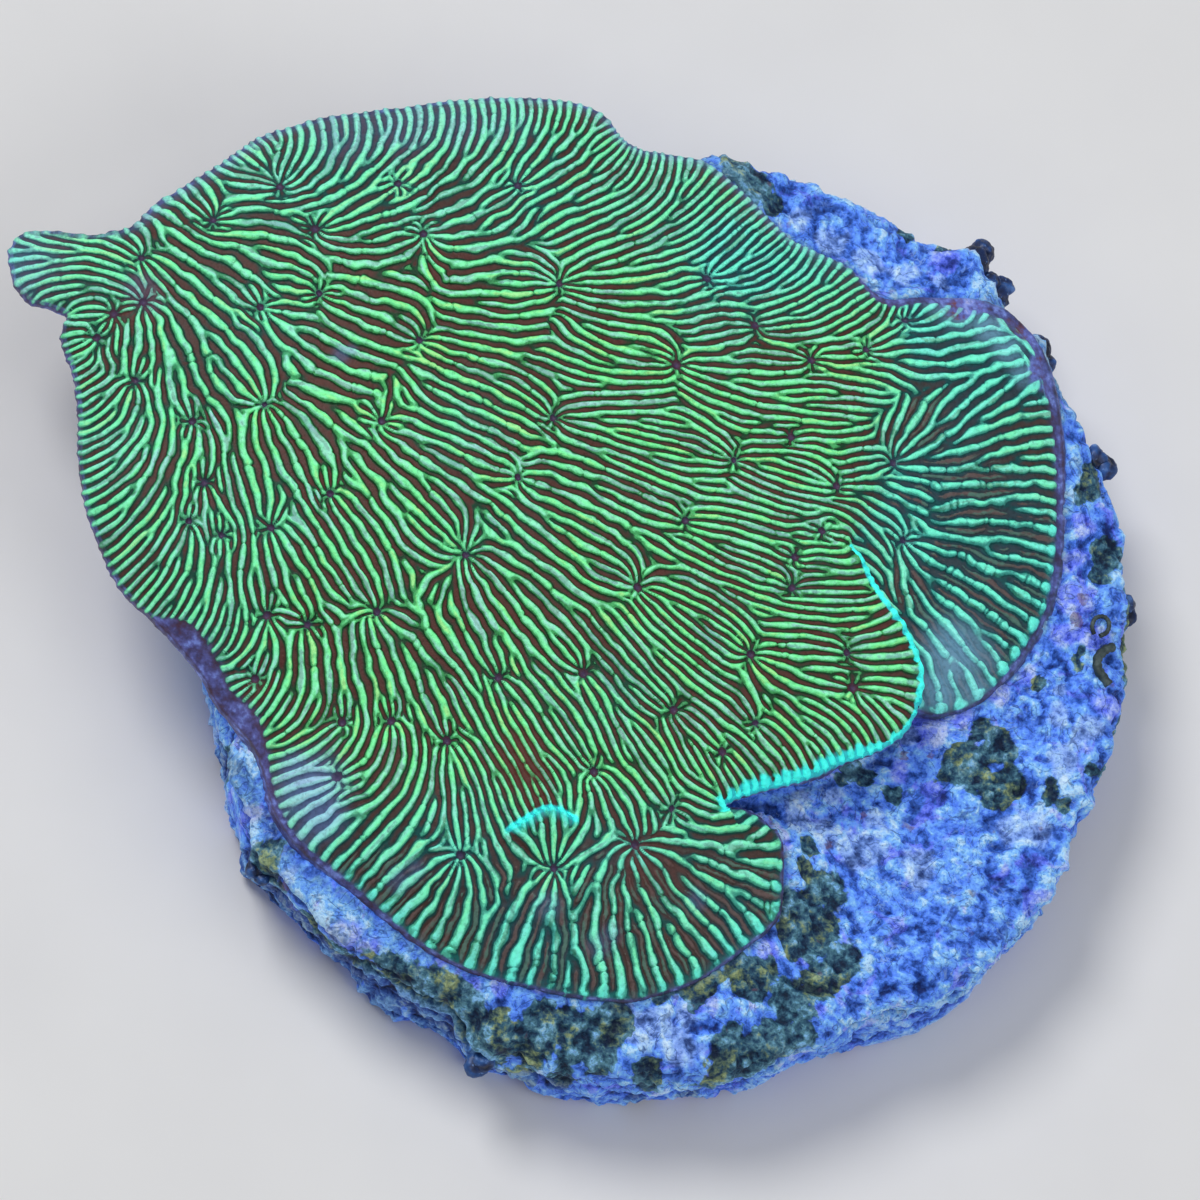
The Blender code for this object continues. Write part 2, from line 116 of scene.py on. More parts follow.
# Short stretches of ridges that steer the growth direction
GUIDES = (
    ((-5.1, 2.2), (-4.3, 1.8), (-3.6, 1.3), (-2.8, 0.9)), ((-1, 9.7), (-1.8, 9.7), (-2.7, 9.6), (-3.5, 9.6)), ((-7.6, -5.6), (-7.2, -6.4), (-6.9, -7.1), (-6.6, -8)),
    ((-1, 0), (-0.1, -0.3), (0.6, -0.6), (1.4, -1.1)), ((-6.6, 2.3), (-5.9, 1.7), (-5.2, 1.2), (-4.5, 0.7)), ((-5.5, 11.8), (-6.3, 11.5), (-7.2, 11.3), (-8, 11.1)),
    ((-3.6, 2.6), (-2.8, 2.3), (-2.1, 2), (-1.3, 1.6)), ((-1.5, -1), (-0.9, -1.6), (-0.2, -2.1), (0.5, -2.6)), ((-6.3, 13.5), (-7, 13.1), (-7.7, 12.6), (-8.5, 12.3)),
    ((-21.4, 10.6), (-20.6, 10.6), (-19.7, 10.5), (-18.9, 10.2)), ((-16.3, 8.7), (-15.7, 8), (-15.1, 7.4), (-14.7, 6.6)), ((10, 9.8), (9.2, 9.4), (8.4, 9.3), (7.6, 9.3)),
    ((-17.3, 4.7), (-17.5, 3.9), (-17.8, 3.1), (-18.3, 2.3)), ((-11, 15.3), (-11.3, 14.6), (-11.7, 14), (-12.2, 13.5)), ((-14.5, 8.6), (-14.1, 8), (-13.7, 7.5), (-13.4, 6.9)),
    ((-18.1, 6), (-18.2, 5.2), (-18.7, 4.5), (-19.4, 3.9)), ((-16.2, 7.4), (-15.9, 6.7), (-15.7, 6.1), (-15.3, 5.6)), ((-3.7, -6.5), (-3.5, -7), (-3.3, -7.6), (-3.1, -8.1)),
    ((4.6, 2.8), (5.1, 2.6), (5.6, 2.4), (6.1, 2.1)), ((3.2, -0.8), (4, -0.9), (4.9, -1), (5.7, -0.9)), ((-15.3, 0.6), (-15.3, -0.2), (-15.3, -1.1), (-15.5, -1.9)),
    ((-0.5, -7.1), (0.3, -7.4), (1.1, -7.4), (1.9, -7)), ((2.8, -3.7), (3.6, -4.2), (4.4, -4.5), (5.1, -5)), ((8.2, 7.1), (7.9, 6.5), (7.5, 5.9), (7, 5.3)),
    ((-13.3, -1.8), (-13.4, -2.6), (-13.5, -3.5), (-13.9, -4.2)), ((2.4, -2.2), (3.2, -2.3), (4.1, -2.4), (4.9, -2.4)), ((-15.8, 11.8), (-15, 11.7), (-14.3, 11.6), (-13.5, 11.6)),
    ((5.8, 7.9), (6.5, 7.9), (7.1, 7.7), (7.7, 7.3)), ((-18.6, 8.7), (-18.6, 8.2), (-18.7, 7.6), (-18.7, 7.1)), ((-4.7, 8.8), (-4.3, 8.2), (-3.7, 7.8), (-3.1, 7.6)),
    ((-2.4, -8.6), (-3.1, -9.1), (-3.4, -9.8), (-3.7, -10.6)), ((4.8, 9.9), (4.1, 9.5), (3.4, 9.3), (2.6, 9.1)), ((-21.9, 12), (-21.2, 11.6), (-20.3, 11.4), (-19.5, 11.2)),
    ((-7.5, -9), (-7.1, -9.5), (-6.7, -10.1), (-6.8, -10.7)), ((-7.9, 16.4), (-8.1, 15.6), (-8.6, 14.9), (-9.2, 14.3)), ((-10, 1.5), (-9.7, 1.1), (-9.3, 0.6), (-8.8, 0.4)),
    ((-2.3, -9.1), (-2.1, -9.7), (-1.8, -10.3), (-1.6, -11)), ((-8.5, -0.2), (-8.7, -0.7), (-8.6, -1.2), (-8.3, -1.6)), ((-5.2, 8.4), (-5.7, 8.2), (-6.3, 8.3), (-6.9, 8.4)),
    ((0.9, -4.8), (1.5, -5.2), (2, -5.6), (2.6, -6)), ((-10.2, -6.2), (-10.6, -6.9), (-11.5, -7.1), (-12.2, -7.6)), ((-2.6, -10.3), (-2.4, -11.2), (-2, -11.9), (-1.6, -12.7)),
    ((-13, 15.9), (-13, 15.3), (-13.2, 14.7), (-13.5, 14.1)), ((9.2, 10.9), (8.8, 10.5), (8.3, 10.2), (7.9, 9.9)), ((-13.4, 6.5), (-12.8, 6.4), (-12.3, 6.1), (-11.7, 5.8)),
    ((-14.8, 5.3), (-15, 4.7), (-14.9, 4), (-14.7, 3.4)), ((6.8, 1.9), (7, 1.4), (7.1, 0.8), (7, 0.3)), ((-9.9, 6.8), (-9.6, 6.3), (-9.2, 5.9), (-8.7, 5.7)),
    ((-16.3, 1.8), (-16.2, 1.4), (-16.2, 0.9), (-16.2, 0.4)), ((-3.5, 15.4), (-4, 14.8), (-4.6, 14.3), (-5.3, 13.8)), ((3.6, 0.9), (4.2, 1), (4.8, 0.9), (5.4, 0.9)),
    ((-0.8, 6.5), (-1.4, 6.3), (-2.1, 6.2), (-2.7, 6.2)), ((9.4, 4.6), (8.6, 4.5), (7.9, 4.4), (7.1, 4.5)), ((-15.6, 4.4), (-15.6, 3.6), (-15.4, 2.7), (-15.1, 1.9)),
    ((-0.5, 6.5), (0, 6.1), (0.7, 5.8), (1.3, 5.5)), ((7.4, 1.6), (7.9, 0.9), (8.6, 0.4), (9.3, -0.1)), ((1, 3.5), (1.6, 3.2), (2.1, 2.9), (2.8, 2.7)),
    ((0.5, 6.7), (1.3, 6.5), (2.2, 6.2), (3, 6.2)), ((-9.7, -4.6), (-9.4, -5.1), (-9.3, -5.6), (-9.4, -6.1)), ((-0.7, -9.9), (-0.1, -10.5), (0.6, -11), (1.3, -11.5)),
    ((-15.6, 11), (-15, 10.7), (-14.5, 10.3), (-14, 9.8)), ((6.9, -0.3), (7.5, -0.7), (8, -1.3), (8.4, -1.9)), ((-11.3, -3.4), (-11.1, -4.2), (-11.2, -5.1), (-11.7, -5.8)),
    ((1.7, 9.6), (1, 9.6), (0.4, 9.3), (-0.2, 9)), ((-13.9, 9.3), (-13.2, 9.2), (-12.6, 9.3)), ((-8.2, -9), (-8.8, -9.4), (-9.5, -9.8), (-10.2, -10.2)),
    ((-12, 7.4), (-11.4, 7.2), (-10.9, 7), (-10.4, 7)), ((-19.8, 9.8), (-20.4, 9.8), (-21.1, 9.7), (-21.7, 9.7)), ((-19, 6.8), (-19.5, 6.4), (-20.1, 6)),
    ((6.5, 4.5), (6, 4.2), (5.5, 4.1), (5, 3.9)), ((-15.1, 13.6), (-14.7, 13.5), (-14.3, 13.5)), ((-3.7, -7), (-3.7, -7.7), (-4, -8.4), (-4.4, -8.9)),
    ((-12.4, 8.9), (-12, 8.4), (-11.5, 8), (-11, 7.6)), ((-14.4, -1.6), (-14.7, -2.2), (-15.2, -2.6), (-15.9, -2.6)), ((-5.3, 12.8), (-5.5, 12.3), (-5.9, 11.9), (-6.4, 11.7)),
    ((12.3, 7.1), (11.5, 6.8), (10.8, 6.3), (10, 5.9)), ((-5, -9.6), (-5.3, -10.1), (-5.6, -10.7), (-5.8, -11.3)), ((1.5, -2.8), (1.8, -3.4), (2.1, -3.9), (2.7, -4.3)),
    ((4.1, 2.6), (3.6, 2.5), (3, 2.6), (2.4, 2.7)), ((-10.1, -1), (-9.5, -1.3), (-9.1, -1.8), (-8.6, -2.3)), ((-6.4, 10.8), (-5.8, 10.9), (-5.3, 10.9), (-4.8, 10.6)),
    ((-3.9, -10.7), (-3.9, -11.5), (-3.6, -12.4), (-3.5, -13.2)), ((5.9, 3.7), (6.5, 3.8), (7.1, 3.6), (7.7, 3.3)), ((-2.8, 14), (-3.4, 13.6), (-4.1, 13.3), (-4.7, 13)),
    ((-12.2, 5.1), (-11.5, 4.5), (-11.1, 3.8), (-10.6, 3.1)), ((-8.5, 0.1), (-9, -0.2), (-9.3, -0.7)), ((11.4, 9.9), (11.8, 9.5), (12.1, 9), (12.3, 8.5)),
    ((-5.7, -4.9), (-5.4, -5.4), (-5, -5.9), (-4.5, -6.3)), ((-4.5, -9.5), (-4.4, -10.2), (-4.3, -11), (-4.3, -11.7)), ((-0.1, 2.9), (0.5, 3), (1.1, 2.9), (1.7, 2.6)),
    ((11.3, 9.4), (10.9, 9.2), (10.4, 9), (9.9, 8.9)), ((10.4, 3.6), (9.7, 3.5), (9, 3.3), (8.4, 3)), ((-2.7, 12.1), (-3.3, 11.8), (-3.9, 11.5), (-4.4, 11.1)),
    ((-0.4, -2.3), (-0, -2.6), (0.4, -2.9), (0.9, -3)), ((-1.6, -8.4), (-0.9, -8.4), (-0.2, -8.5), (0.5, -8.7)), ((-9.1, -7.7), (-9.7, -8.3), (-10.2, -9), (-10.7, -9.7)),
    ((3.8, -1.3), (3.3, -1.3), (2.7, -1.3), (2.2, -1.4)), ((-8.9, 11.2), (-8.7, 10.9), (-8.4, 10.6)), ((-10.1, 6.6), (-10.1, 6.2), (-10, 5.8)),
    ((-9.3, 11.3), (-9.9, 10.9), (-10.6, 10.8), (-11.3, 10.8)), ((-12, 9.7), (-11.2, 9.5), (-10.4, 9.4), (-9.6, 9.1)), ((-12.3, 11.3), (-11.7, 11), (-11.1, 11), (-10.4, 11)),
    ((-8.5, -6.5), (-8.5, -7), (-8.5, -7.6), (-8.6, -8.1)), ((-6.6, 9.2), (-7.2, 9.3), (-7.8, 9.3), (-8.4, 9.2)), ((-1, -4.6), (-0.5, -5.3), (0, -6), (0.6, -6.6)),
    ((-12.8, 0.3), (-12.5, -0.3), (-12.3, -0.8), (-11.8, -1.2)), ((-1.7, -10.8), (-1.3, -11.5), (-0.8, -12), (-0.3, -12.6)), ((-10, 5.4), (-9.5, 5.3), (-8.9, 5.2), (-8.3, 4.9)),
    ((-11.5, -1.5), (-11.5, -2), (-11.4, -2.6), (-11.2, -3.1)), ((3.4, 4.9), (4, 4.8), (4.5, 4.6)), ((-8.2, 2.7), (-7.7, 2.3), (-7.5, 1.7), (-7.7, 1.2)),
    ((7.3, 6.9), (7.1, 6.4), (6.8, 5.9), (6.7, 5.4)), ((-16.7, 4.1), (-16.8, 3.5), (-16.8, 2.9), (-16.9, 2.3)), ((-3.2, -1.3), (-2.9, -1.9), (-2.4, -2.4)),
    ((-21.3, 12), (-20.6, 11.7), (-20, 11.5), (-19.3, 11.4)), ((-10.3, 12.5), (-10.9, 12.2), (-11.5, 11.9), (-12.1, 11.8)), ((7.5, 10.7), (7.3, 10.3), (7.1, 10)),
    ((-7.3, 1.1), (-6.8, 1), (-6.2, 0.7), (-5.7, 0.4)), ((4.9, 6.6), (5.5, 6.6), (6.1, 6.6), (6.7, 6.7)), ((-4.4, 0.1), (-3.9, -0.3), (-3.4, -0.6), (-2.9, -0.8)),
    ((-8, 0.4), (-7.9, -0.2), (-7.6, -0.8), (-7.2, -1.3)), ((10.5, 8.1), (9.7, 7.6), (9.2, 6.9), (8.6, 6.3)), ((-19.3, 8), (-19.3, 7.6), (-19.1, 7.2)),
    ((-11.9, 14.6), (-12.2, 14), (-12.7, 13.7), (-13.2, 13.4)), ((-12.3, -4.6), (-12.8, -4.9), (-13.5, -5.2), (-14.1, -5.3)), ((-14.1, -1.4), (-13.9, -1.9), (-13.9, -2.5), (-14.1, -3)),
    ((-1.95, -7.03), (-1.66, -7.43), (-1.63, -7.92)), ((-4.57, 9.81), (-4.95, 9.45), (-5.42, 9.26)), ((-6.08, -8.46), (-5.67, -8.74), (-5.27, -9.04)),
    ((-18.85, 10.66), (-18.45, 10.35), (-18.24, 9.88)), ((-7.44, -3.03), (-7.15, -3.45), (-7, -3.95)), ((-11.09, -1.15), (-11.38, -1.27), (-11.62, -1.48)),
    ((-12.72, 11.08), (-12.35, 10.75), (-12.01, 10.39)), ((4.54, 1.76), (5.05, 1.65), (5.56, 1.55)), ((-9.49, 9.4), (-9.08, 9.2), (-8.91, 8.78)),
    ((-13.95, 7.25), (-13.84, 6.81), (-13.94, 6.36)), ((-2.26, 1.15), (-2.01, 0.9), (-1.9, 0.56)), ((1.27, -0.9), (1.59, -1.17), (1.81, -1.53)),
    ((-15.89, 13.85), (-15.75, 13.35), (-15.63, 12.85)), ((-12.32, -3.63), (-12.35, -4.15), (-12.59, -4.58)), ((-18.46, 9.22), (-18.84, 9.11), (-19.17, 8.88)),
    ((-1.45, 8.68), (-0.95, 8.55), (-0.63, 8.16)), ((-0.83, 0.43), (-1.29, 0.46), (-1.73, 0.34)), ((-14.04, 10.2), (-13.55, 10.05), (-13.04, 9.96)),
    ((-10.25, 0.13), (-10.08, -0.23), (-10.04, -0.63)), ((-15.49, 5.99), (-15.13, 5.76), (-14.69, 5.75)), ((-17.84, 7.16), (-17.95, 6.65), (-17.82, 6.15)),
    ((-0.91, 3.4), (-0.45, 3.15), (0.02, 2.97)), ((-16.4, 5.9), (-16.15, 5.45), (-15.84, 5.03)), ((-13.87, -1.09), (-13.55, -1.25), (-13.2, -1.32)),
    ((-4.75, 13.61), (-5.25, 13.45), (-5.67, 13.17)), ((-3.05, -8.39), (-3.47, -8.66), (-3.92, -8.88)), ((-19.32, 11.81), (-18.9, 11.62), (-18.54, 11.33)),
    ((1.07, -5.79), (1.42, -6.13), (1.8, -6.41)), ((-5.32, -8.06), (-5.16, -8.53), (-5.02, -9.01)), ((2.84, 1.65), (3.35, 1.55), (3.87, 1.58)),
    ((-7.06, -7.83), (-7.05, -8.35), (-6.9, -8.83)), ((-5.29, 6.72), (-4.93, 6.53), (-4.69, 6.22)), ((-3.54, 6.21), (-3.99, 6.16), (-4.44, 6.04)),
    ((-17.89, 12.35), (-17.75, 11.85), (-17.61, 11.35)), ((-4.84, 4.14), (-5.27, 4.18), (-5.66, 3.98)), ((7.15, 3.08), (7.45, 2.88), (7.66, 2.58)),
    ((2.56, 5.22), (2.07, 5.15), (1.59, 5.02)), ((-12.13, 10.38), (-11.73, 10.34), (-11.33, 10.34)), ((-10.76, -5.62), (-11.1, -5.93), (-11.51, -6.13)),
    ((7.51, 9.18), (7.05, 8.95), (6.57, 8.76)), ((-0.4, -6.58), (0.03, -6.67), (0.45, -6.79)), ((-2.3, -4.08), (-1.96, -4.3), (-1.59, -4.45)),
    ((-6.64, -1.87), (-6.46, -2.33), (-6.31, -2.81)), ((-7.98, -9.16), (-8.15, -9.65), (-8.36, -10.13)), ((2.63, 5.54), (3.15, 5.55), (3.67, 5.57)),
    ((-9, 10.97), (-8.94, 10.55), (-8.74, 10.19)), ((-7.33, 3.24), (-6.87, 3.05), (-6.38, 3.13)), ((2.53, -0.19), (3.05, -0.25), (3.56, -0.36)),
    ((-17.63, 11.27), (-17.21, 11.03), (-16.79, 10.81)), ((-6.6, 4.71), (-6.26, 4.53), (-5.97, 4.29)), ((7.64, 2.24), (8.15, 2.15), (8.67, 2.11)),
    ((-3.16, -4.77), (-2.96, -5.23), (-2.83, -5.71)), ((-5.16, -3.13), (-4.75, -3.45), (-4.36, -3.78)), ((-17.3, 12.33), (-16.98, 11.98), (-16.59, 11.71)),
    ((-6.21, 5.59), (-5.8, 5.38), (-5.38, 5.2)), ((-10.36, -5.04), (-10.45, -5.55), (-10.59, -6.05)), ((2.28, 8.49), (2.71, 8.33), (3.16, 8.26)),
    ((-3.38, -3.05), (-3.05, -3.45), (-2.76, -3.88)), ((-5.53, 11.33), (-5.05, 11.15), (-4.68, 10.78)), ((-2.54, -0.77), (-2.37, -1.09), (-2.16, -1.38)),
    ((-14.49, 5.53), (-14.45, 5.03), (-14.33, 4.55)), ((-5.82, 3.62), (-5.33, 3.54), (-4.86, 3.38)), ((0.83, 3.76), (0.39, 3.64), (-0.07, 3.67)),
    ((-8.4, -8.7), (-8.87, -8.86), (-9.31, -9.08)), ((2.01, 8.61), (1.61, 8.33), (1.16, 8.19)), ((-2.9, -5.88), (-2.52, -6.18), (-2.17, -6.5)),
    ((-8.32, -7.54), (-8.26, -8.03), (-8.09, -8.5)), ((-15.22, 1.31), (-15.27, 0.97), (-15.3, 0.63)), ((-14.53, 12.95), (-14.99, 12.95), (-15.43, 12.83)),
    ((8.5, 10.91), (8.2, 10.59), (7.91, 10.26)), ((-4.32, 9.55), (-4.01, 9.38), (-3.67, 9.26)), ((-14.01, -2.89), (-14.25, -3.35), (-14.59, -3.74)),
    ((5.72, 4.87), (5.29, 4.67), (4.87, 4.43)), ((-18.65, 6.61), (-18.79, 6.24), (-18.98, 5.89)), ((0.84, 11.6), (0.45, 11.25), (-0.04, 11.1)),
    ((-13.01, 10.95), (-12.56, 10.76), (-12.29, 10.35)), ((8.33, 8.13), (8.85, 8.15), (9.37, 8.11)), ((-7.82, -4.84), (-7.44, -5.16), (-7.12, -5.55)),
    ((-12.16, 4.21), (-11.96, 3.83), (-12, 3.4)), ((2.36, 1.02), (2.76, 0.89), (3.13, 0.7)), ((-11.63, 3.21), (-11.35, 2.95), (-11.08, 2.68)),
    ((-8.04, -3.87), (-7.85, -4.35), (-7.66, -4.83)), ((-1.33, -4.58), (-1.21, -4.96), (-1.01, -5.31)), ((4.37, 8.07), (4.81, 7.94), (5.27, 7.91)),
    ((0.45, -2.42), (0.87, -2.55), (1.31, -2.53)), ((-12.07, -6.2), (-12.57, -6.15), (-13.06, -6.24)), ((-9.34, 12.03), (-9.85, 11.95), (-10.37, 11.89)),
    ((5.53, -2.25), (6.05, -2.25), (6.57, -2.28)), ((-9.98, 14.51), (-10.35, 14.15), (-10.75, 13.81)), ((-14.97, -0.35), (-14.89, -0.74), (-14.76, -1.12)),
    ((-5.7, 14.61), (-5.88, 14.29), (-6.04, 13.97)), ((-16.25, 2.47), (-16.25, 1.95), (-16.1, 1.45)), ((-1.91, -8.63), (-1.54, -8.96), (-1.22, -9.36)),
    ((-4.12, -6.47), (-4.14, -6.87), (-4.11, -7.27)), ((-3.44, -0.31), (-3.03, -0.45), (-2.59, -0.42)), ((4.88, 3.33), (5.37, 3.25), (5.86, 3.2)),
    ((-11.85, -4.92), (-12.15, -5.35), (-12.48, -5.74)), ((5.94, 8.22), (5.45, 8.05), (4.94, 7.99)), ((3.78, 4.47), (4.19, 4.3), (4.52, 4.01)),
    ((10.95, 10.53), (11.26, 10.13), (11.61, 9.78)), ((-7.06, -8.26), (-6.95, -8.75), (-6.61, -9.14)), ((-12.19, 13.28), (-12.63, 13.23), (-13.03, 13.06)),
    ((5.23, 0.28), (5.75, 0.25), (6.18, -0.02)), ((2.53, 4.85), (3.05, 4.85), (3.57, 4.84)), ((7.27, 10.32), (7.05, 9.85), (6.7, 9.47)),
    ((-1.65, 1.89), (-1.23, 1.75), (-0.8, 1.8)), ((-14.84, -3.03), (-15.33, -3.15), (-15.82, -3.23)), ((3.6, 7.3), (3.27, 7.21), (2.94, 7.18)),
    ((-11.25, 6.3), (-10.96, 6.2), (-10.67, 6.13)), ((0.1, -5.38), (0.45, -5.75), (0.68, -6.22)), ((0.61, 5.32), (0.98, 5.12), (1.24, 4.79)),
    ((-14.18, 10.1), (-13.75, 9.85), (-13.23, 9.81)), ((-0.64, 1.4), (-0.33, 1.17), (0.01, 1)), ((-11.34, 12.87), (-11.75, 12.55), (-12.17, 12.24)),
    ((-13.76, 12.05), (-13.25, 11.95), (-12.77, 11.76)), ((12.32, 8.51), (12.55, 8.05), (12.71, 7.56)), ((-4.55, -3.44), (-4.25, -3.85), (-3.99, -4.3)),
    ((-10.24, 6.47), (-10.25, 6.03), (-10.29, 5.59)), ((-5.42, -9.28), (-5.69, -9.62), (-5.87, -10.02)), ((0.49, 10.23), (0.08, 9.97), (-0.31, 9.7)),
    ((-3.68, -9.5), (-3.95, -9.95), (-4.11, -10.44)), ((-8.13, -2.99), (-7.75, -3.35), (-7.53, -3.8)), ((-15.64, 2.43), (-15.49, 2.04), (-15.3, 1.67)),
    ((-1.77, 8.1), (-1.25, 8.05), (-0.77, 7.87)), ((4.66, 2.02), (5.15, 1.85), (5.65, 1.72)), ((-4.75, 9.89), (-5.25, 9.75), (-5.77, 9.74)),
    ((-17, 2.03), (-17.19, 1.66), (-17.35, 1.27)), ((-14.97, 10.06), (-14.7, 9.74), (-14.5, 9.37)), ((-15.56, 9.06), (-15.15, 8.75), (-14.74, 8.44)),
    ((-10.65, 7.87), (-10.23, 7.76), (-9.79, 7.73)), ((5.25, 3.13), (5.75, 3.05), (6.21, 2.8)), ((-6.17, 2.91), (-5.84, 2.54), (-5.46, 2.21)),
    ((5.99, 0.83), (6.33, 0.59), (6.56, 0.24)), ((-15.82, 3.77), (-15.85, 3.25), (-15.69, 2.76)), ((-13.45, 1.91), (-13.11, 1.6), (-12.85, 1.23)),
    ((-10.91, -1.38), (-10.82, -1.77), (-10.67, -2.14)), ((6.55, 9.98), (6.15, 9.65), (5.72, 9.35)), ((4.21, 2.47), (3.73, 2.35), (3.23, 2.31)),
    ((6.69, 6.35), (6.55, 5.87), (6.5, 5.37)), ((-11.33, -4.03), (-11.35, -4.55), (-11.39, -5.07)), ((-12.47, 11.11), (-12.26, 10.82), (-12.03, 10.55)),
    ((-7.32, -3.02), (-7.05, -3.45), (-6.88, -3.94)), ((-14.19, 10.21), (-13.75, 9.95), (-13.23, 9.9)), ((-17.3, 2.49), (-17.55, 2.05), (-17.89, 1.66)),
    ((6.41, 5.18), (5.97, 5.13), (5.56, 4.99)), ((-12.94, 3.43), (-12.79, 3.04), (-12.57, 2.69)), ((-17.18, 3.06), (-17.25, 2.63), (-17.29, 2.19)),
    ((-13.85, 3.03), (-13.65, 2.55), (-13.8, 2.08)), ((-12.83, -1.84), (-12.75, -2.35), (-12.67, -2.86)), ((0.73, -6.04), (0.99, -6.39), (1.31, -6.7)),
    ((-18.09, 6.55), (-18, 6.16), (-17.85, 5.79)), ((0.98, -5.11), (1.24, -5.27), (1.48, -5.45)), ((-19.96, 11.62), (-19.45, 11.55), (-18.98, 11.34)),
    ((12.13, 8.04), (11.81, 7.87), (11.49, 7.7)), ((-9.81, -3.16), (-9.65, -3.65), (-9.5, -4.15)), ((-4.9, 4.84), (-4.56, 4.6), (-4.17, 4.46)),
    ((0.13, 2.11), (0.65, 2.05), (1.17, 1.99)), ((-12.77, 8.87), (-13.07, 8.83), (-13.36, 8.88)), ((-14.01, 5.97), (-13.72, 5.75), (-13.46, 5.51)),
    ((-7.34, 10.57), (-7.79, 10.46), (-8.23, 10.34)),
)

DISC_TOP = 5.0
DISC_R = 15.7

# =============================================================================
# Plane curves
# =============================================================================
def catmull(points, n=6, closed=False):
    p = np.array(points, float)
    k = len(p)
    out = []
    for i in range(k if closed else k - 1):
        a, b, c, d = (p[(i + j) % k] if closed else p[min(max(i + j, 0), k - 1)] for j in (-1, 0, 1, 2))
        t = np.arange(n)[:, None] / n
        out.append(0.5 * (2 * b + (c - a) * t + (2 * a - 5 * b + 4 * c - d) * t ** 2 + (3 * b - a - 3 * c + d) * t ** 3))
    if not closed:
        out.append(p[-1:])
    return np.vstack(out)


def resample(p, step, closed=False):
    p = np.asarray(p, float)
    if closed:
        p = np.vstack([p, p[:1]])
    d = np.r_[0, np.cumsum(np.hypot(*np.diff(p[:, :2], axis=0).T))]
    n = max(2, int(round(d[-1] / step)) + 1)
    s = np.linspace(0, d[-1], n)
    q = np.stack([np.interp(s, d, p[:, i]) for i in range(p.shape[1])], 1)
    return q[:-1] if closed else q


def headings(p, closed=False):
    if closed:
        t = np.roll(p[:, :2], -1, 0) - np.roll(p[:, :2], 1, 0)
    else:
        t = np.gradient(p[:, :2], axis=0)
    return np.arctan2(t[:, 1], t[:, 0])


def fill_mask(poly, xs, ys):
    """Inside test of grid nodes by scan lines."""
    out = np.zeros((len(ys), len(xs)), bool)
    x1, y1 = poly[:, 0], poly[:, 1]
    x2, y2 = np.roll(x1, -1), np.roll(y1, -1)
    for j, y in enumerate(ys):
        c = (y1 > y) != (y2 > y)
        if c.any():
            cr = np.sort(x1[c] + (y - y1[c]) * (x2[c] - x1[c]) / (y2[c] - y1[c]))
            out[j] = np.searchsorted(cr, xs) % 2 == 1
    return out


OUT_A = catmull(OUTER_A)
OUT_B = catmull(OUTER_B)
LIP_C = catmull(LIP)
k0 = int(np.argmin(np.hypot(LIP_C[:, 0] - OUT_A[-1, 0], LIP_C[:, 1] - OUT_A[-1, 1])))
lip_tail = np.hstack([LIP_C[k0:], np.tile([0.1, 0.05, 0.5], (len(LIP_C) - k0, 1))])
FULL = resample(np.vstack([OUT_A, lip_tail, OUT_B]), 0.1, True)     # whole margin seen from above
FULL_ANG = headings(FULL, True)
LIP_R = resample(LIP_C, 0.1)
LIP_ANG = headings(LIP_R)
CP = np.array(CORALLITES, float)


# =============================================================================
# Surface heights: smooth sheets through the height tables
# =============================================================================
def sheet_fit(rows, stiff=0.02):
    p = np.array(rows, float)
    xy, z = p[:, :2], p[:, 2]
    d2 = ((xy[:, None] - xy[None]) ** 2).sum(-1)
    k = 0.5 * d2 * np.log(d2 + 1e-12) + stiff * np.eye(len(p))
    n = len(p)
    a = np.zeros((n + 3, n + 3))
    a[:n, :n] = k
    a[:n, n] = a[n, :n] = 1
    a[:n, n + 1:] = xy
    a[n + 1:, :n] = xy.T
    return xy, np.linalg.solve(a, np.r_[z, 0, 0, 0])


def sheet_height(fit, x, y):
    xy, w = fit
    n = len(xy)
    z = w[n] + w[n + 1] * x + w[n + 2] * y
    for i in range(n):
        d2 = (x - xy[i, 0]) ** 2 + (y - xy[i, 1]) ** 2
        z = z + w[i] * 0.5 * d2 * np.log(d2 + 1e-12)
    return z


PLATE_FIT = sheet_fit(PLATE_HEIGHTS)
FAN_FIT = sheet_fit(FAN_HEIGHTS)

# =============================================================================
# Growth direction of the ridges: a smooth line field that radiates from each
# corallite, meets the margins square on and follows the guide ridges
# =============================================================================
BX0, BX1, BY0, BY1 = -23.6, 14.4, -14.6, 18.2


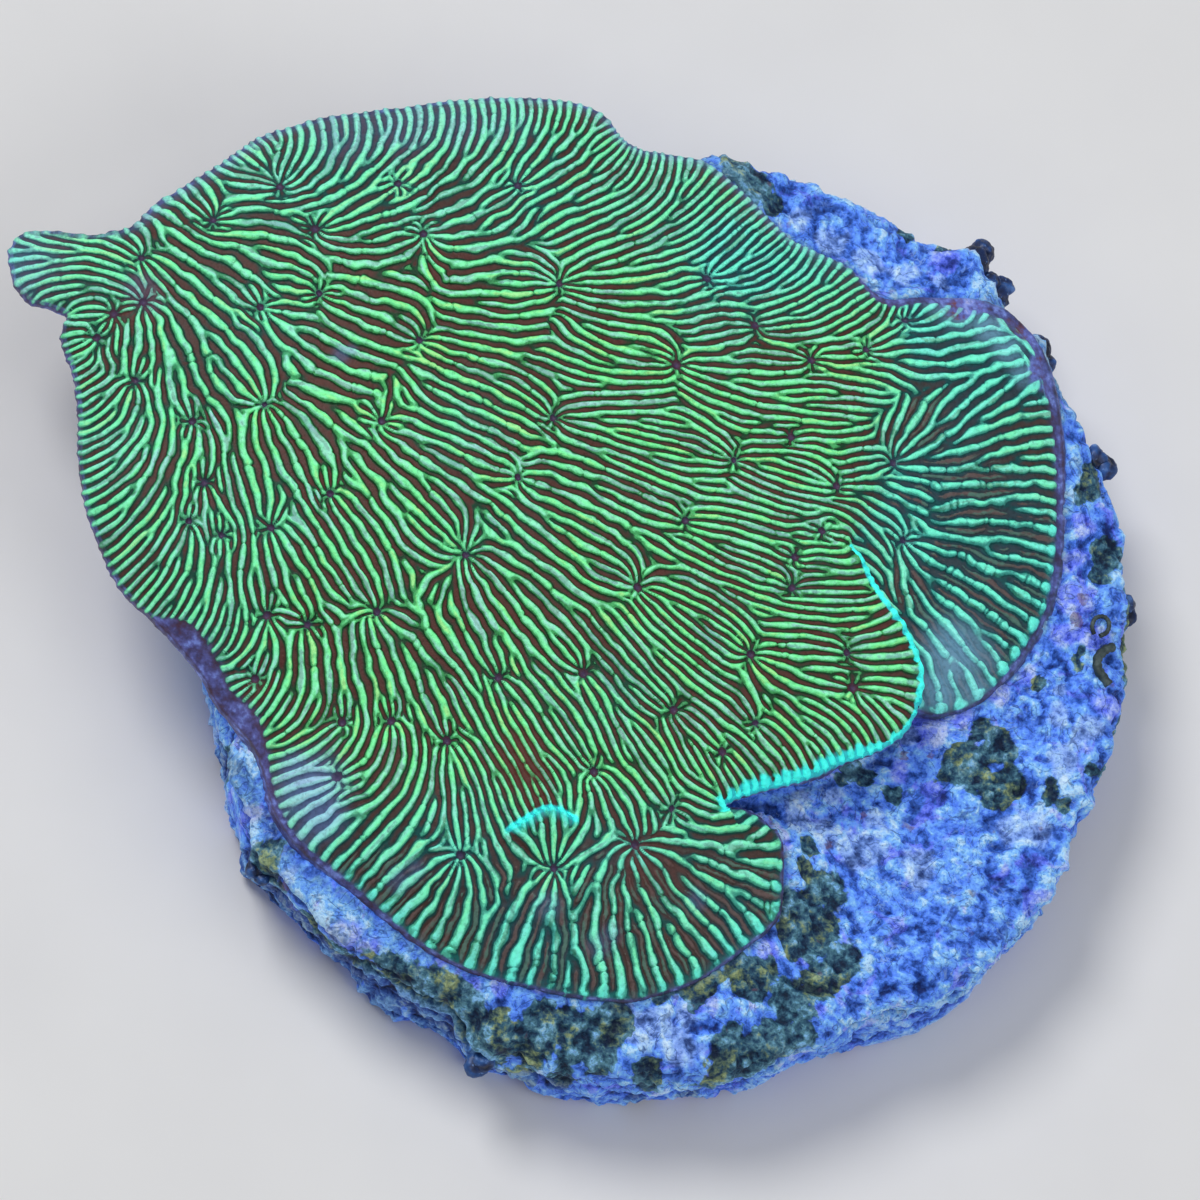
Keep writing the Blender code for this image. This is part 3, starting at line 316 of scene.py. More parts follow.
def grow_directions():
    guides = []
    for g in GUIDES:
        c = resample(catmull(g), 0.05)
        guides.append((c, headings(c)))
    rim = resample(FULL[:, :2], 0.05, True)
    rim_a = headings(rim, True) + math.pi / 2
    lip = resample(LIP_C, 0.05)
    lip_a = headings(lip)
    side = np.stack([np.sin(lip_a), -np.cos(lip_a)], 1)
    fan_poly = np.vstack([lip, [[lip[-1, 0] + 1, -9], [14, -8], [16, 0], [14, 3], [lip[0, 0] + 4, lip[0, 1] + 3]]])
    field = None
    for h, rounds in ((0.8, 200), (0.4, 150), (0.2, 120), (0.1, 100)):
        nx, ny = int(round((BX1 - BX0) / h)), int(round((BY1 - BY0) / h))
        xs, ys = BX0 + (np.arange(nx) + 0.5) * h, BY0 + (np.arange(ny) + 0.5) * h
        X, Y = np.meshgrid(xs, ys)
        acc, cnt = np.zeros((ny, nx), complex), np.zeros((ny, nx))

        def put(p, ang, w=1.0):
            i, j = ((p[:, 0] - BX0) / h).astype(int), ((p[:, 1] - BY0) / h).astype(int)
            ok = (i >= 0) & (i < nx) & (j >= 0) & (j < ny)
            np.add.at(acc, (j[ok], i[ok]), w * np.exp(2j * ang[ok]))
            np.add.at(cnt, (j[ok], i[ok]), w)

        put(rim, rim_a)
        put(lip + side * h * 1.2, lip_a + math.pi / 2, 3.0)
        for c, a in guides:
            put(c, a)
        fix = cnt > 0
        val = np.where(fix, acc / np.maximum(np.abs(acc), 1e-6), 0)
        for cx, cy in CP:
            m = np.hypot(X - cx, Y - cy) < max(0.3, 0.75 * h)
            fix |= m
            val[m] = np.exp(2j * np.arctan2(Y - cy, X - cx))[m]
        wall = np.zeros((ny, nx), bool)
        wall[((lip[:, 1] - BY0) / h).astype(int), ((lip[:, 0] - BX0) / h).astype(int)] = True
        dom = (fill_mask(FULL, xs, ys) | fix) & ~wall
        fix &= dom
        if field is None:
            u = np.where(fix, val, 0)
        else:
            u = np.zeros((ny, nx), complex)
            up = np.repeat(np.repeat(field, 2, 0), 2, 1)[:ny, :nx]
            u[:up.shape[0], :up.shape[1]] = up
            u = np.where(fix, val, u)
        w = dom.astype(np.float32)
        wp = np.pad(w, 1)
        tot = np.maximum(wp[:-2, 1:-1] + wp[2:, 1:-1] + wp[1:-1, :-2] + wp[1:-1, 2:], 1e-6)
        u = u.astype(np.complex64)
        vf = val[fix].astype(np.complex64)
        for _ in range(rounds):
            q = np.pad(u * w, 1)
            u = u + 0.95 * ((q[:-2, 1:-1] + q[2:, 1:-1] + q[1:-1, :-2] + q[1:-1, 2:]) / tot - u)
            u[fix] = vf
        field = u * dom
    return field, h


FIELD, FIELD_H = grow_directions()


def field_at(x, y):
    i, j = (x - BX0) / FIELD_H - 0.5, (y - BY0) / FIELD_H - 0.5
    i0 = np.clip(np.floor(i).astype(int), 0, FIELD.shape[1] - 2)
    j0 = np.clip(np.floor(j).astype(int), 0, FIELD.shape[0] - 2)
    fi, fj = np.clip(i - i0, 0, 1), np.clip(j - j0, 0, 1)
    return ((FIELD[j0, i0] * (1 - fi) + FIELD[j0, i0 + 1] * fi) * (1 - fj)
            + (FIELD[j0 + 1, i0] * (1 - fi) + FIELD[j0 + 1, i0 + 1] * fi) * fj)


# =============================================================================
# Ridges: noise combed along the growth direction until it settles in ridges
# =============================================================================
GX0, GY0 = -23.8, -14.9
TURNS = 16
BANDS = tuple(1 / p for p in (0.68, 0.52, 0.40, 0.305, 0.235))


def spacing_at(x, y):
    w, s = np.zeros(x.shape), np.zeros(x.shape)
    for a, b, p in SPACING:
        k = 1 / (((x - a) ** 2 + (y - b) ** 2) + 0.15) ** 2
        w += k
        s += k * p
    s = s / w
    for cx, cy in CP:                                # ridges crowd together round a corallite
        s = np.minimum(s, 0.235 + 0.42 * np.maximum(np.hypot(x - cx, y - cy) - 0.45, 0))
    return s


def comb(ridges, u, per, inside, stars, h, rounds, sr=0.28, sa=0.27):
    ny, nx = per.shape
    fy, fx = np.fft.fftfreq(ny, h)[:, None], np.fft.rfftfreq(nx, h)[None]
    r, a = np.hypot(fx, fy), np.arctan2(fy, fx)
    combs, weights = [], []
    turn = ((np.angle(u) / 2 + math.pi / 2) % math.pi) / math.pi * TURNS
    lf, bands = np.log(1 / per), np.log(BANDS)
    for m in range(len(BANDS)):
        radial = np.exp(-(np.log((r + 1e-9) / BANDS[m])) ** 2 / (2 * sr ** 2))
        lo = np.clip((lf - bands[m - 1]) / (bands[m] - bands[m - 1]), 0, 1) if m else 1.0
        hi = np.clip((bands[m + 1] - lf) / (bands[m + 1] - bands[m]), 0, 1) if m < len(BANDS) - 1 else 1.0
        wf = np.minimum(lo, hi)
        for k in range(TURNS):
            d = np.abs((a - math.pi * k / TURNS + math.pi / 2) % math.pi - math.pi / 2)
            combs.append((radial * np.exp(-d ** 2 / (2 * sa ** 2))).astype(np.float32))
            wk = np.clip(1 - np.abs((turn - k + TURNS / 2) % TURNS - TURNS / 2), 0, 1)
            weights.append((wk * wf).astype(np.float32))
    mask, val = stars
    for _ in range(rounds):
        fh = np.fft.rfft2(ridges)
        out = np.zeros((ny, nx))
        for part in POOL.map(lambda i: weights[i] * np.fft.irfft2(fh * combs[i], s=(ny, nx)), range(len(combs))):
            out += part
        out /= math.sqrt((out[inside] ** 2).mean())
        ridges = np.tanh(out * 1.6) * inside
        ridges = ridges * (1 - mask) + val * mask
    return ridges, out


def ridge_grid(h, nx, ny):
    xs, ys = GX0 + h * (np.arange(nx) + 0.5), GY0 + h * (np.arange(ny) + 0.5)
    X, Y = np.meshgrid(xs, ys)
    inside = fill_mask(FULL, xs, ys)
    u, per = field_at(X, Y), spacing_at(X, Y)
    mask, val = np.zeros(X.shape), np.zeros(X.shape)
    rng = np.random.default_rng(3)
    for cx, cy in CP:
        i, j = int((cx - GX0) / h), int((cy - GY0) / h)
        k = int(1.3 / h)
        p = np.median(per[max(j - k, 0):j + k, max(i - k, 0):i + k])
        rays = int(np.clip(round(4 + 8 * p), 6, 8))
        ph = rng.uniform(0, 2 * math.pi)
        i0, i1 = int((cx - 0.8 - GX0) / h), int((cx + 0.8 - GX0) / h) + 1
        j0, j1 = int((cy - 0.8 - GY0) / h), int((cy + 0.8 - GY0) / h) + 1
        x, y = X[j0:j1, i0:i1] - cx, Y[j0:j1, i0:i1] - cy
        rad, turn = np.hypot(x, y), np.arctan2(y, x)
        w = np.clip((0.40 - rad) / 0.14, 0, 1)
        sel = w > mask[j0:j1, i0:i1]
        val[j0:j1, i0:i1] = np.where(sel, np.cos(rays * (turn + 0.12 * np.sin(2 * turn + ph)) + ph), val[j0:j1, i0:i1])
        mask[j0:j1, i0:i1] = np.maximum(mask[j0:j1, i0:i1], w)
    return xs, ys, X, Y, inside, u, per, (mask, val)


H = 0.05
NX, NY = 768, 672


def finer(a, h0, h1, nx, ny):
    """Read a grid of step h0 at the nodes of one of step h1 from the same corner."""
    ci, cj = (np.arange(nx) + 0.5) * h1 / h0 - 0.5, (np.arange(ny) + 0.5) * h1 / h0 - 0.5
    i0, j0 = np.clip(ci.astype(int), 0, a.shape[1] - 2), np.clip(cj.astype(int), 0, a.shape[0] - 2)
    fi, fj = np.clip(ci - i0, 0, 1)[None], np.clip(cj - j0, 0, 1)[:, None]
    return ((a[np.ix_(j0, i0)] * (1 - fi) + a[np.ix_(j0, i0 + 1)] * fi) * (1 - fj)
            + (a[np.ix_(j0 + 1, i0)] * (1 - fi) + a[np.ix_(j0 + 1, i0 + 1)] * fi) * fj)


xs, ys, X, Y, inside, u, per, stars = ridge_grid(0.1, 384, 336)
ridges = np.random.default_rng(5).standard_normal(X.shape) * inside
ridges, _ = comb(ridges, u, per, inside, stars, 0.1, 34, 0.19, 0.17)
xs, ys, X, Y, inside, u, per, stars = ridge_grid(0.075, 512, 448)
ridges, _ = comb(finer(ridges, 0.1, 0.075, 512, 448), u, per, inside, stars, 0.075, 8)
xs, ys, X, Y, INSIDE, U, PER, stars = ridge_grid(H, NX, NY)
_, raw = comb(finer(ridges, 0.075, H, NX, NY), U, PER, INSIDE, stars, H, 3)


def blur(a, sigma):
    ny, nx = a.shape
    fy, fx = np.fft.fftfreq(ny, H)[:, None], np.fft.rfftfreq(nx, H)[None]
    return np.fft.irfft2(np.fft.rfft2(a) * np.exp(-2 * (math.pi * sigma) ** 2 * (fx ** 2 + fy ** 2)), s=a.shape)


envelope = np.sqrt(np.maximum(2 * blur(raw ** 2, 0.28) / np.maximum(blur(INSIDE * 1.0, 0.28), 0.15), 1e-4))
S = np.clip(raw / envelope, -1.3, 1.3)      # 1 on a ridge's crest, -1 in the middle of a groove


def streak_noise(seed, reach):
    """Noise that is even along a ridge and changes from one ridge to the next."""
    n = np.random.default_rng(seed).standard_normal(X.shape)
    th = np.angle(U) / 2
    dx, dy = np.cos(th), np.sin(th)
    total, count = n.copy(), 1
    for sgn in (1, -1):
        px, py = np.meshgrid(np.arange(NX, dtype=float), np.arange(NY, dtype=float))
        lx, ly = sgn * dx, sgn * dy
        for _ in range(int(reach / (1.2 * H))):
            px += 1.2 * lx
            py += 1.2 * ly
            i, j = np.clip(px, 0, NX - 1).astype(int), np.clip(py, 0, NY - 1).astype(int)
            total += n[j, i]
            count += 1
            nx_, ny_ = dx[j, i], dy[j, i]
            flip = np.where(nx_ * lx + ny_ * ly < 0, -1.0, 1.0)
            lx, ly = nx_ * flip, ny_ * flip
    total = blur(total, 0.05)
    return total / total[INSIDE].std()


STREAK = streak_noise(11, 0.9)
STREAK2 = streak_noise(12, 0.35)


def cloud(seed, size):
    n = blur(np.random.default_rng(seed).standard_normal(X.shape), size)
    return n / n.std()


# =============================================================================
# Distances to the margin, the lip, the corallites
# =============================================================================
def near_curve(p, closed, reach, gx=X, gy=Y):
    """Distance, nearest place along the curve (in points) and foot point, within reach."""
    dist = np.full(gx.shape, reach)
    where = np.zeros(gx.shape)
    fx, fy = gx.copy(), gy.copy()
    n = len(p)
    for i in range(n if closed else n - 1):
        ax, ay = p[i, :2]
        bx, by = p[(i + 1) % n, :2]
        i0 = max(int((min(ax, bx) - reach - GX0) / H), 0)
        i1 = min(int((max(ax, bx) + reach - GX0) / H) + 1, NX)
        j0 = max(int((min(ay, by) - reach - GY0) / H), 0)
        j1 = min(int((max(ay, by) + reach - GY0) / H) + 1, NY)
        if i1 <= i0 or j1 <= j0:
            continue
        x, y = gx[j0:j1, i0:i1], gy[j0:j1, i0:i1]
        dx, dy = bx - ax, by - ay
        t = np.clip(((x - ax) * dx + (y - ay) * dy) / (dx * dx + dy * dy + 1e-12), 0, 1)
        qx, qy = ax + t * dx, ay + t * dy
        d = np.hypot(x - qx, y - qy)
        m = d < dist[j0:j1, i0:i1]
        dist[j0:j1, i0:i1][m] = d[m]
        where[j0:j1, i0:i1][m] = i + t[m]
        fx[j0:j1, i0:i1][m] = qx[m]
        fy[j0:j1, i0:i1][m] = qy[m]
    return dist, where, fx, fy


def lookup(a, x, y):
    i, j = (x - xs[0]) / H, (y - ys[0]) / H
    i0, j0 = np.clip(np.floor(i).astype(int), 0, NX - 2), np.clip(np.floor(j).astype(int), 0, NY - 2)
    fi, fj = np.clip(i - i0, 0, 1), np.clip(j - j0, 0, 1)
    return (a[j0, i0] * (1 - fi) + a[j0, i0 + 1] * fi) * (1 - fj) + (a[j0 + 1, i0] * (1 - fi) + a[j0 + 1, i0 + 1] * fi) * fj


def step(t):
    t = np.clip(t, 0, 1)
    return t * t * (3 - 2 * t)


D_RIM, W_RIM, RIM_FX, RIM_FY = near_curve(FULL, True, 3.0)
D_LIP, W_LIP, LIP_FX, LIP_FY = near_curve(LIP_R, False, 3.0)


def along(values, where, closed=True):
    i = np.floor(where).astype(int)
    f = where - i
    n = len(values)
    j = (i + 1) % n if closed else np.minimum(i + 1, n - 1)
    return values[i % n] * (1 - f) + values[j] * f


ROLL, BARE = along(FULL[:, 2], W_RIM), along(FULL[:, 3], W_RIM)
CORE = np.full(X.shape, 9.0)
for cx, cy in CP:
    i0, i1 = int((cx - 2 - GX0) / H), int((cx + 2 - GX0) / H)
    j0, j1 = int((cy - 2 - GY0) / H), int((cy + 2 - GY0) / H)
    CORE[j0:j1, i0:i1] = np.minimum(CORE[j0:j1, i0:i1], np.hypot(X[j0:j1, i0:i1] - cx, Y[j0:j1, i0:i1] - cy))

# ---- plate, right fan and the line between them --------------------------------
LIP_A = LIP_R[0]
SEAM = np.array(((5.6, 3.17), (5.9, 5.28), (6.12, 6.72), (6.71, 8.99), (7.2, 10.7),))
seam_x = np.interp(Y, np.r_[LIP_A[1], SEAM[:, 1]], np.r_[LIP_A[0], SEAM[:, 0]])
FAN_POLY = np.vstack([LIP_R[:, :2], [[LIP_R[-1, 0] + 0.5, -7.6], [10, -7.6], [16, -2], [16, 14], [SEAM[-1, 0], 14]], SEAM[::-1]])
FAN_NODE = fill_mask(FAN_POLY, xs, ys)
FAN_CELL = fill_mask(FAN_POLY, xs[:-1] + H / 2, ys[:-1] + H / 2)
NORTH = Y > LIP_A[1]
reach = np.clip(0.6 * (Y - LIP_A[1]), 0.02, 1.3)
W_FAN = np.where(NORTH, step((X - seam_x + reach) / (2 * reach)), FAN_NODE * 1.0)

Z_PLATE = sheet_height(PLATE_FIT, X, Y)
Z_FAN = sheet_height(FAN_FIT, X, Y)
Z_BASE = (1 - W_FAN) * Z_PLATE + W_FAN * Z_FAN

# slow swells of the surface, and a shallow dip at each corallite
SWELL = 0.07 * cloud(21, 1.3) + 0.03 * cloud(22, 0.6)
DIP = 0.16 * np.exp(-(CORE / 0.55) ** 2) + 0.12 * np.exp(-(CORE / 0.17) ** 2)
roll = ROLL * np.clip(1 - D_RIM / (0.9 + 1.6 * ROLL), 0, 1) ** 2
lip_curl = 0.14 * np.clip(1 - D_LIP / 0.5, 0, 1) ** 2

# the small raised edge among the lower fans
ARC = resample(catmull(np.array(((-6.51, -8.51), (-6.35, -8.13), (-6.03, -7.91), (-5.7, -7.71), (-5.34, -7.48), (-4.98, -7.38), (-4.62, -7.47), (-4.28, -7.65), (-4.04, -7.86), (-3.87, -8.14),))), 0.08)
D_ARC, W_ARC, _, _ = near_curve(ARC, False, 2.4)
arc_in = fill_mask(np.vstack([ARC, ARC[::-1] + [0.0, -1.7]]), xs, ys)
arc_end = np.clip(np.minimum(W_ARC, len(ARC) - 1 - W_ARC) / 6, 0, 1)
ARC_UP = arc_in * arc_end * 0.27 * np.clip(1 - D_ARC / 1.3, 0, 1)

# faded places, and places where the ridges are thin over red tissue: x, y, reach, strength
PALE_SPOTS = ((-12.74, -6.61, 0.85, 1), (-12.35, -7.42, 0.62, 0.95), (-13.2, -5.95, 0.45, 0.8), (-12.94, -8.07, 0.27, 0.6), (-9.3, -9.28, 0.24, 0.4), (-9.81, -9.55, 0.3, 0.45), (8.99, -1.53, 0.88, 0.9), (8.42, -2.7, 0.61, 0.9), (9.69, -2.64, 0.54, 0.7), (10.04, -1.64, 0.47, 0.5), (9.39, 11.1, 0.74, 0.7), (8.5, 11.25, 0.54, 0.6), (10.24, 10.38, 0.47, 0.4), (-3.19, -11.6, 0.34, 0.35), (-2.87, -11.29, 0.27, 0.35), (0.07, -10.04, 0.27, 0.4), (-4.95, -10.39, 0.34, 0.35), (-21.99, 10.91, 1.1, 0.34), (-21.15, 11.28, 0.7, 0.18), (-18.22, 9.75, 0.42, 0.55), (-17.93, 9.28, 0.3, 0.35), (-11.77, 7.5, 0.22, 0.5), (-11.44, 7.64, 0.15, 0.5), (9.56, 10.67, 0.8, 0.75), (8.81, 10.65, 0.5, 0.6), (10.59, 9.71, 0.5, 0.5), (9.6, 10.35, 0.55, 0.75), (10.5, 9.8, 0.5, 0.8), (11.1, 9.1, 0.45, 0.7), (11.6, 8.2, 0.35, 0.6), (-11.27, 15.89, 1.15, 0.34), (-9.42, 16.22, 1.21, 0.36), (-7.58, 16.34, 1.08, 0.3), (-5.9, 16.39, 0.81, 0.25))
pale = np.zeros(X.shape)
for a, b, r, k in PALE_SPOTS:
    pale = np.maximum(pale, min(1.15 * k, 1.0) * np.exp(-(((X - a) ** 2 + (Y - b) ** 2) / (1.3 * r) ** 2) ** 1.5))
RED_SPOTS = ((-5.82, -6.19, 0.81, 1), (-5.99, -5.39, 0.54, 0.9), (-5.38, -7.14, 0.54, 0.9), (-6.48, -5.71, 0.34, 0.6), (-1.95, -8.93, 0.95, 0.62), (-1.35, -8.35, 0.60, 0.5), (-0.9, -9.4, 0.65, 0.45), (-7.27, -8.12, 0.27, 0.4), (-14.48, -3.37, 0.47, 0.6), (-14.92, -4.26, 0.4, 0.5), (-18.1, 9.6, 0.62, 0.62), (-18.9, 8.9, 0.50, 0.45), (-17.9, 9.0, 0.40, 0.40),)
red = np.zeros(X.shape)
for a, b, r, k in RED_SPOTS:
    red = np.maximum(red, k * np.exp(-(((X - a) ** 2 + (Y - b) ** 2) / r ** 2) ** 1.5))
pale = np.maximum(pale, 0.55 * np.exp(-(D_RIM / 0.30) ** 2) * step((Y - 11.0) / 1.5))

# how blue-green the grooves and flanks are: most on the right fan and along the top
COOL = np.maximum.reduce([
    0.95 * W_FAN,
    0.60 * step((Y - 9.5) / 4.5),
    0.95 * np.exp(-(((X - 3.0) / 4.2) ** 2 + ((Y - 12.2) / 3.2) ** 2) ** 1.5),
    0.80 * step((-5.5 - Y) / 3.5),
    0.32 * step((-11.5 - X) / 4.0),
    0.90 * np.exp(-(((X + 22.3) / 1.5) ** 2 + ((Y - 11.2) / 1.3) ** 2)),
]) + 0.10 * cloud(27, 1.1)
COOL = np.clip(COOL, 0, 1)

# rubbed, lavender-pink stretch of the right fan's top margin
BLUSH = np.zeros(X.shape)
for a, b, r, k in ((9.9, 10.35, 0.45, 0.75), (10.6, 9.85, 0.50, 0.95), (11.15, 9.15, 0.50, 1.0), (11.55, 8.35, 0.50, 1.0), (11.95, 7.55, 0.40, 0.8), (12.2, 6.7, 0.28, 0.6)):
    BLUSH = np.maximum(BLUSH, k * np.exp(-(((X - a) ** 2 + (Y - b) ** 2) / (1.7 * r) ** 2) ** 1.4))
BARE = BARE + 0.20 * BLUSH * (1 + 0.5 * cloud(30, 0.5))
BLUSH = BLUSH * step((BARE + 0.32 + 0.30 * cloud(29, 0.4) - D_RIM) / 0.28)
BLUSH = np.clip(BLUSH + 0.20 * cloud(29, 0.25) * (BLUSH > 0.05), 0, 1)

# ---- ridge profile ---------------------------------------------------------------
WIGGLE = 0.012 + 0.024 * step((PER - 0.32) / 0.2)
S = lookup(S, X + WIGGLE * cloud(25, 0.17), Y + WIGGLE * cloud(26, 0.17))
DULL = step((-STREAK - 0.45) / 0.9)
FANNED = step((PER - 0.45) / 0.08) * np.maximum(W_FAN, step((-8.0 - Y) / 1.2))
MARGIN_D = np.where(FAN_NODE | (D_LIP > D_RIM), D_RIM, np.minimum(D_RIM, D_LIP))
LEVEL = 0.02 + 0.08 * step((PER - 0.30) / 0.2) - 0.09 * STREAK2 + 0.11 * cloud(23, 0.16) + 0.10 * DULL + 0.40 * red - 0.10 * pale + 0.34 * pale * W_FAN
LEVEL = LEVEL + 0.12 * np.exp(-(CORE / 0.45) ** 2) + (0.30 - 0.07 * (Y < -5)) * FANNED - 0.01 * COOL * (1 - FANNED)
KNOBBED = FANNED * (0.16 + 0.60 * W_FAN + 0.26 * STREAK2)
LEVEL = LEVEL - KNOBBED * np.exp(-((D_RIM - BARE - 0.16) / 0.14) ** 2)   # knobs at the fans' margins
RIDGE = S - LEVEL
RIDGE = RIDGE - 2.2 * step((0.14 + 0.03 * cloud(28, 0.12) - CORE) / 0.08)
RIDGE = RIDGE - 2.6 * step((BARE - D_RIM) / 0.07)
SECOND = FANNED * step((-S - 0.70 - 0.10 * STREAK2) / 0.20) * step((D_RIM - BARE) / 0.05) * step((CORE - 0.5) / 0.3)

# nicks cut across the ridges
rng = np.random.default_rng(31)
NICK = np.zeros(X.shape)
th = np.angle(U) / 2
jj, ii = np.nonzero(INSIDE & (S > 0.75))
pick = rng.choice(len(jj), 2300, replace=False)
for j, i in zip(jj[pick], ii[pick]):
    p = PER[j, i]
    if rng.random() < (0.72 if FANNED[j, i] < 0.5 else 0.45):
        continue
    a, b = slice(max(j - 6, 0), j + 7), slice(max(i - 6, 0), i + 7)
    x, y = X[a, b] - X[j, i], Y[a, b] - Y[j, i]
    c, s_ = math.cos(th[j, i]), math.sin(th[j, i])
    tilt = rng.normal(0, 0.25)
    lu = x * c + y * s_
    lv = -x * s_ + y * c
    NICK[a, b] = np.maximum(NICK[a, b], rng.uniform(0.3, 1.0) * np.exp(-((lu + tilt * lv) / 0.045) ** 2) * np.exp(-(lv / (0.42 * p)) ** 4))
RIDGE = RIDGE - 0.75 * NICK
RIDGE_SMOOTH = RIDGE

# ---- grid nodes pulled onto the ridges' edges ------------------------------------
gy_, gx_ = np.gradient(RIDGE, H)
g2 = gx_ ** 2 + gy_ ** 2
pull = np.clip(-RIDGE / np.maximum(g2, 1e-3), -1, 1)
px, py = pull * gx_, pull * gy_
ok = (np.hypot(px, py) < 0.62 * H) & (g2 > 4.0)
SX, SY = np.where(ok, px, 0), np.where(ok, py, 0)
RIDGE = np.where(ok, 0.0, RIDGE)


HIGH = 0.13 + 0.26 * np.clip(PER - 0.28, 0, 0.4)
HIGH = HIGH * (1 - 0.55 * BLUSH) * (0.55 + 0.45 * step(MARGIN_D / 0.4)) * (1 - 0.25 * DULL)
body = step((RIDGE + 0.24) / 0.48)
crest = np.clip(RIDGE, 0, 1.2)
grain = cloud(24, 0.06)
RELIEF = HIGH * (0.84 * body + 0.16 * crest) + 0.014 * body * grain + 0.35 * HIGH * SECOND

COMMON = SWELL - DIP + RELIEF + ARC_UP


snap_rim = (D_RIM < 0.5 * H)
snap_lip = (D_LIP < 0.5 * H) & ~NORTH & (D_LIP < D_RIM + 1e-6)


def layer(z_base, use_lip, own):
    px, py = X + SX, Y + SY
    px, py = np.where(snap_rim, RIM_FX, px), np.where(snap_rim, RIM_FY, py)
    if use_lip:
        px, py = np.where(snap_lip, LIP_FX, px), np.where(snap_lip, LIP_FY, py)
    moved = (snap_rim | (snap_lip if use_lip else False)) & ((np.hypot(px - X, py - Y) > 1e-4) | ~own)
    z = z_base + COMMON - roll - (lip_curl if use_lip else 0)
    zz = z.copy()
    # the edge's height comes from the sheet's own side only
    mine = np.where(own, z, blur(np.where(own, z, 0), 0.03) / np.maximum(blur(own * 1.0, 0.03), 1e-3))
    zz[moved] = lookup(mine, px[moved], py[moved])
    return px, py, zz


def layer_mesh(px, py, pz, cells):
    """Triangles over the chosen cells, split along the diagonal that follows the ridges."""
    j, i = np.nonzero(cells)
    a, b = j * NX + i, j * NX + i + 1
    c, d = (j + 1) * NX + i + 1, (j + 1) * NX + i
    r = RIDGE.ravel()
    one = np.abs(r[a] - r[c]) < np.abs(r[b] - r[d])
    t1 = np.where(one[:, None], np.stack([a, b, c], 1), np.stack([a, b, d], 1))
    t2 = np.where(one[:, None], np.stack([a, c, d], 1), np.stack([b, c, d], 1))
    tris = np.vstack([t1, t2])
    P = np.stack([px.ravel(), py.ravel(), pz.ravel()], 1)
    n = np.cross(P[tris[:, 1]] - P[tris[:, 0]], P[tris[:, 2]] - P[tris[:, 0]])
    good = np.abs(n).sum(1) > 1e-7
    tris, n = tris[good], n[good]
    N = np.zeros(P.shape)
    for k in range(3):
        for ax in range(3):
            N[:, ax] += np.bincount(tris[:, k], n[:, ax], len(P))
    return P, tris, N


near_in = INSIDE | snap_rim
lip_nodes_ok = ~FAN_NODE | NORTH | snap_lip
ok_plate = near_in & lip_nodes_ok
ext = (~FAN_NODE) & (~NORTH) & (D_LIP < 1.3) & (W_LIP > 3) & (W_LIP < 56) & (Y > -3.1)
ok_fan = near_in & (FAN_NODE | NORTH | ext)


def all4(m):
    return m[:-1, :-1] & m[1:, :-1] & m[:-1, 1:] & m[1:, 1:]


plate_cells = all4(ok_plate) & ~FAN_CELL
ext_cell = all4(ext | FAN_NODE) & ~all4(NORTH)
fan_cells = all4(ok_fan) & (FAN_CELL | ext_cell)

HIDDEN = ext & ~FAN_NODE & ~NORTH                  # the fan's own sheet, carried on beneath the lip
z_fan_base = np.where(FAN_NODE | NORTH, Z_BASE, Z_FAN - 0.05 - 0.75 * RELIEF)
PXp, PYp, PZp = layer(Z_BASE, True, INSIDE & (~FAN_NODE | NORTH))
PXf, PYf, PZf = layer(z_fan_base, False, INSIDE & (FAN_NODE | NORTH | ext))
P_plate, T_plate, N_plate = layer_mesh(PXp, PYp, PZp, plate_cells)
P_fan, T_fan, N_fan = layer_mesh(PXf, PYf, PZf, fan_cells)
share = NORTH.ravel()
both = N_plate + N_fan
N_plate[share] = both[share]
N_fan[share] = both[share]
N_plate /= np.maximum(np.linalg.norm(N_plate, axis=1), 1e-12)[:, None]
N_fan /= np.maximum(np.linalg.norm(N_fan, axis=1), 1e-12)[:, None]

# ---- what the materials read from the surface ------------------------------------
LIP_GLOW = 0.18 + 0.26 * step((W_LIP - 76) / 12) * (1 - 0.35 * step((W_LIP - 122) / 14)) + 0.07 * STREAK2 * step((W_LIP - 20) / 10)
LIP_GLOW = np.maximum(LIP_GLOW, 0.06)
cyan_lip = 1.35 * np.exp(-(D_LIP / LIP_GLOW) ** 2) * (~FAN_NODE) * step((W_LIP - 1) / 10)
cyan_arc = np.maximum(1.1 * np.exp(-(D_ARC / 0.19) ** 2), 0.80 * arc_in * np.exp(-(D_ARC / 0.62) ** 2)) * arc_end
cyan_fan = FANNED * (0.42 * np.exp(-(np.maximum(D_RIM - BARE, 0) / 0.8) ** 2) + 0.22)
cyan_edge = 0.22 * np.exp(-(D_RIM / 1.2) ** 2)
ATTRS = {
    "ridge": RIDGE,
    "second": SECOND,
    "vary": STREAK,
    "edge": np.exp(-(np.maximum(D_RIM - 0.6 * np.maximum(BARE, 0), 0) / (0.045 + 0.36 * np.maximum(BARE, 0))) ** 2) * (1 - (~FAN_NODE) * step((0.55 - D_LIP) / 0.3)),
    "mouth": np.exp(-(CORE / 0.135) ** 2),
    "cyan": np.clip(np.maximum.reduce([cyan_lip, cyan_arc, cyan_fan, cyan_edge]), 0, 1),
    "pale": pale,
    "red": red,
    "cool": COOL,
    "blush": BLUSH,
}
# painted shade: beneath the lip the fan's sheet takes the groove colour and the dark margin colour throughout
SHADED_SHEET = {k: np.where(HIDDEN, {"ridge": np.minimum(RIDGE, -0.45), "edge": 0.55, "cool": 0.6}.get(k, 0.0), v) for k, v in ATTRS.items()}


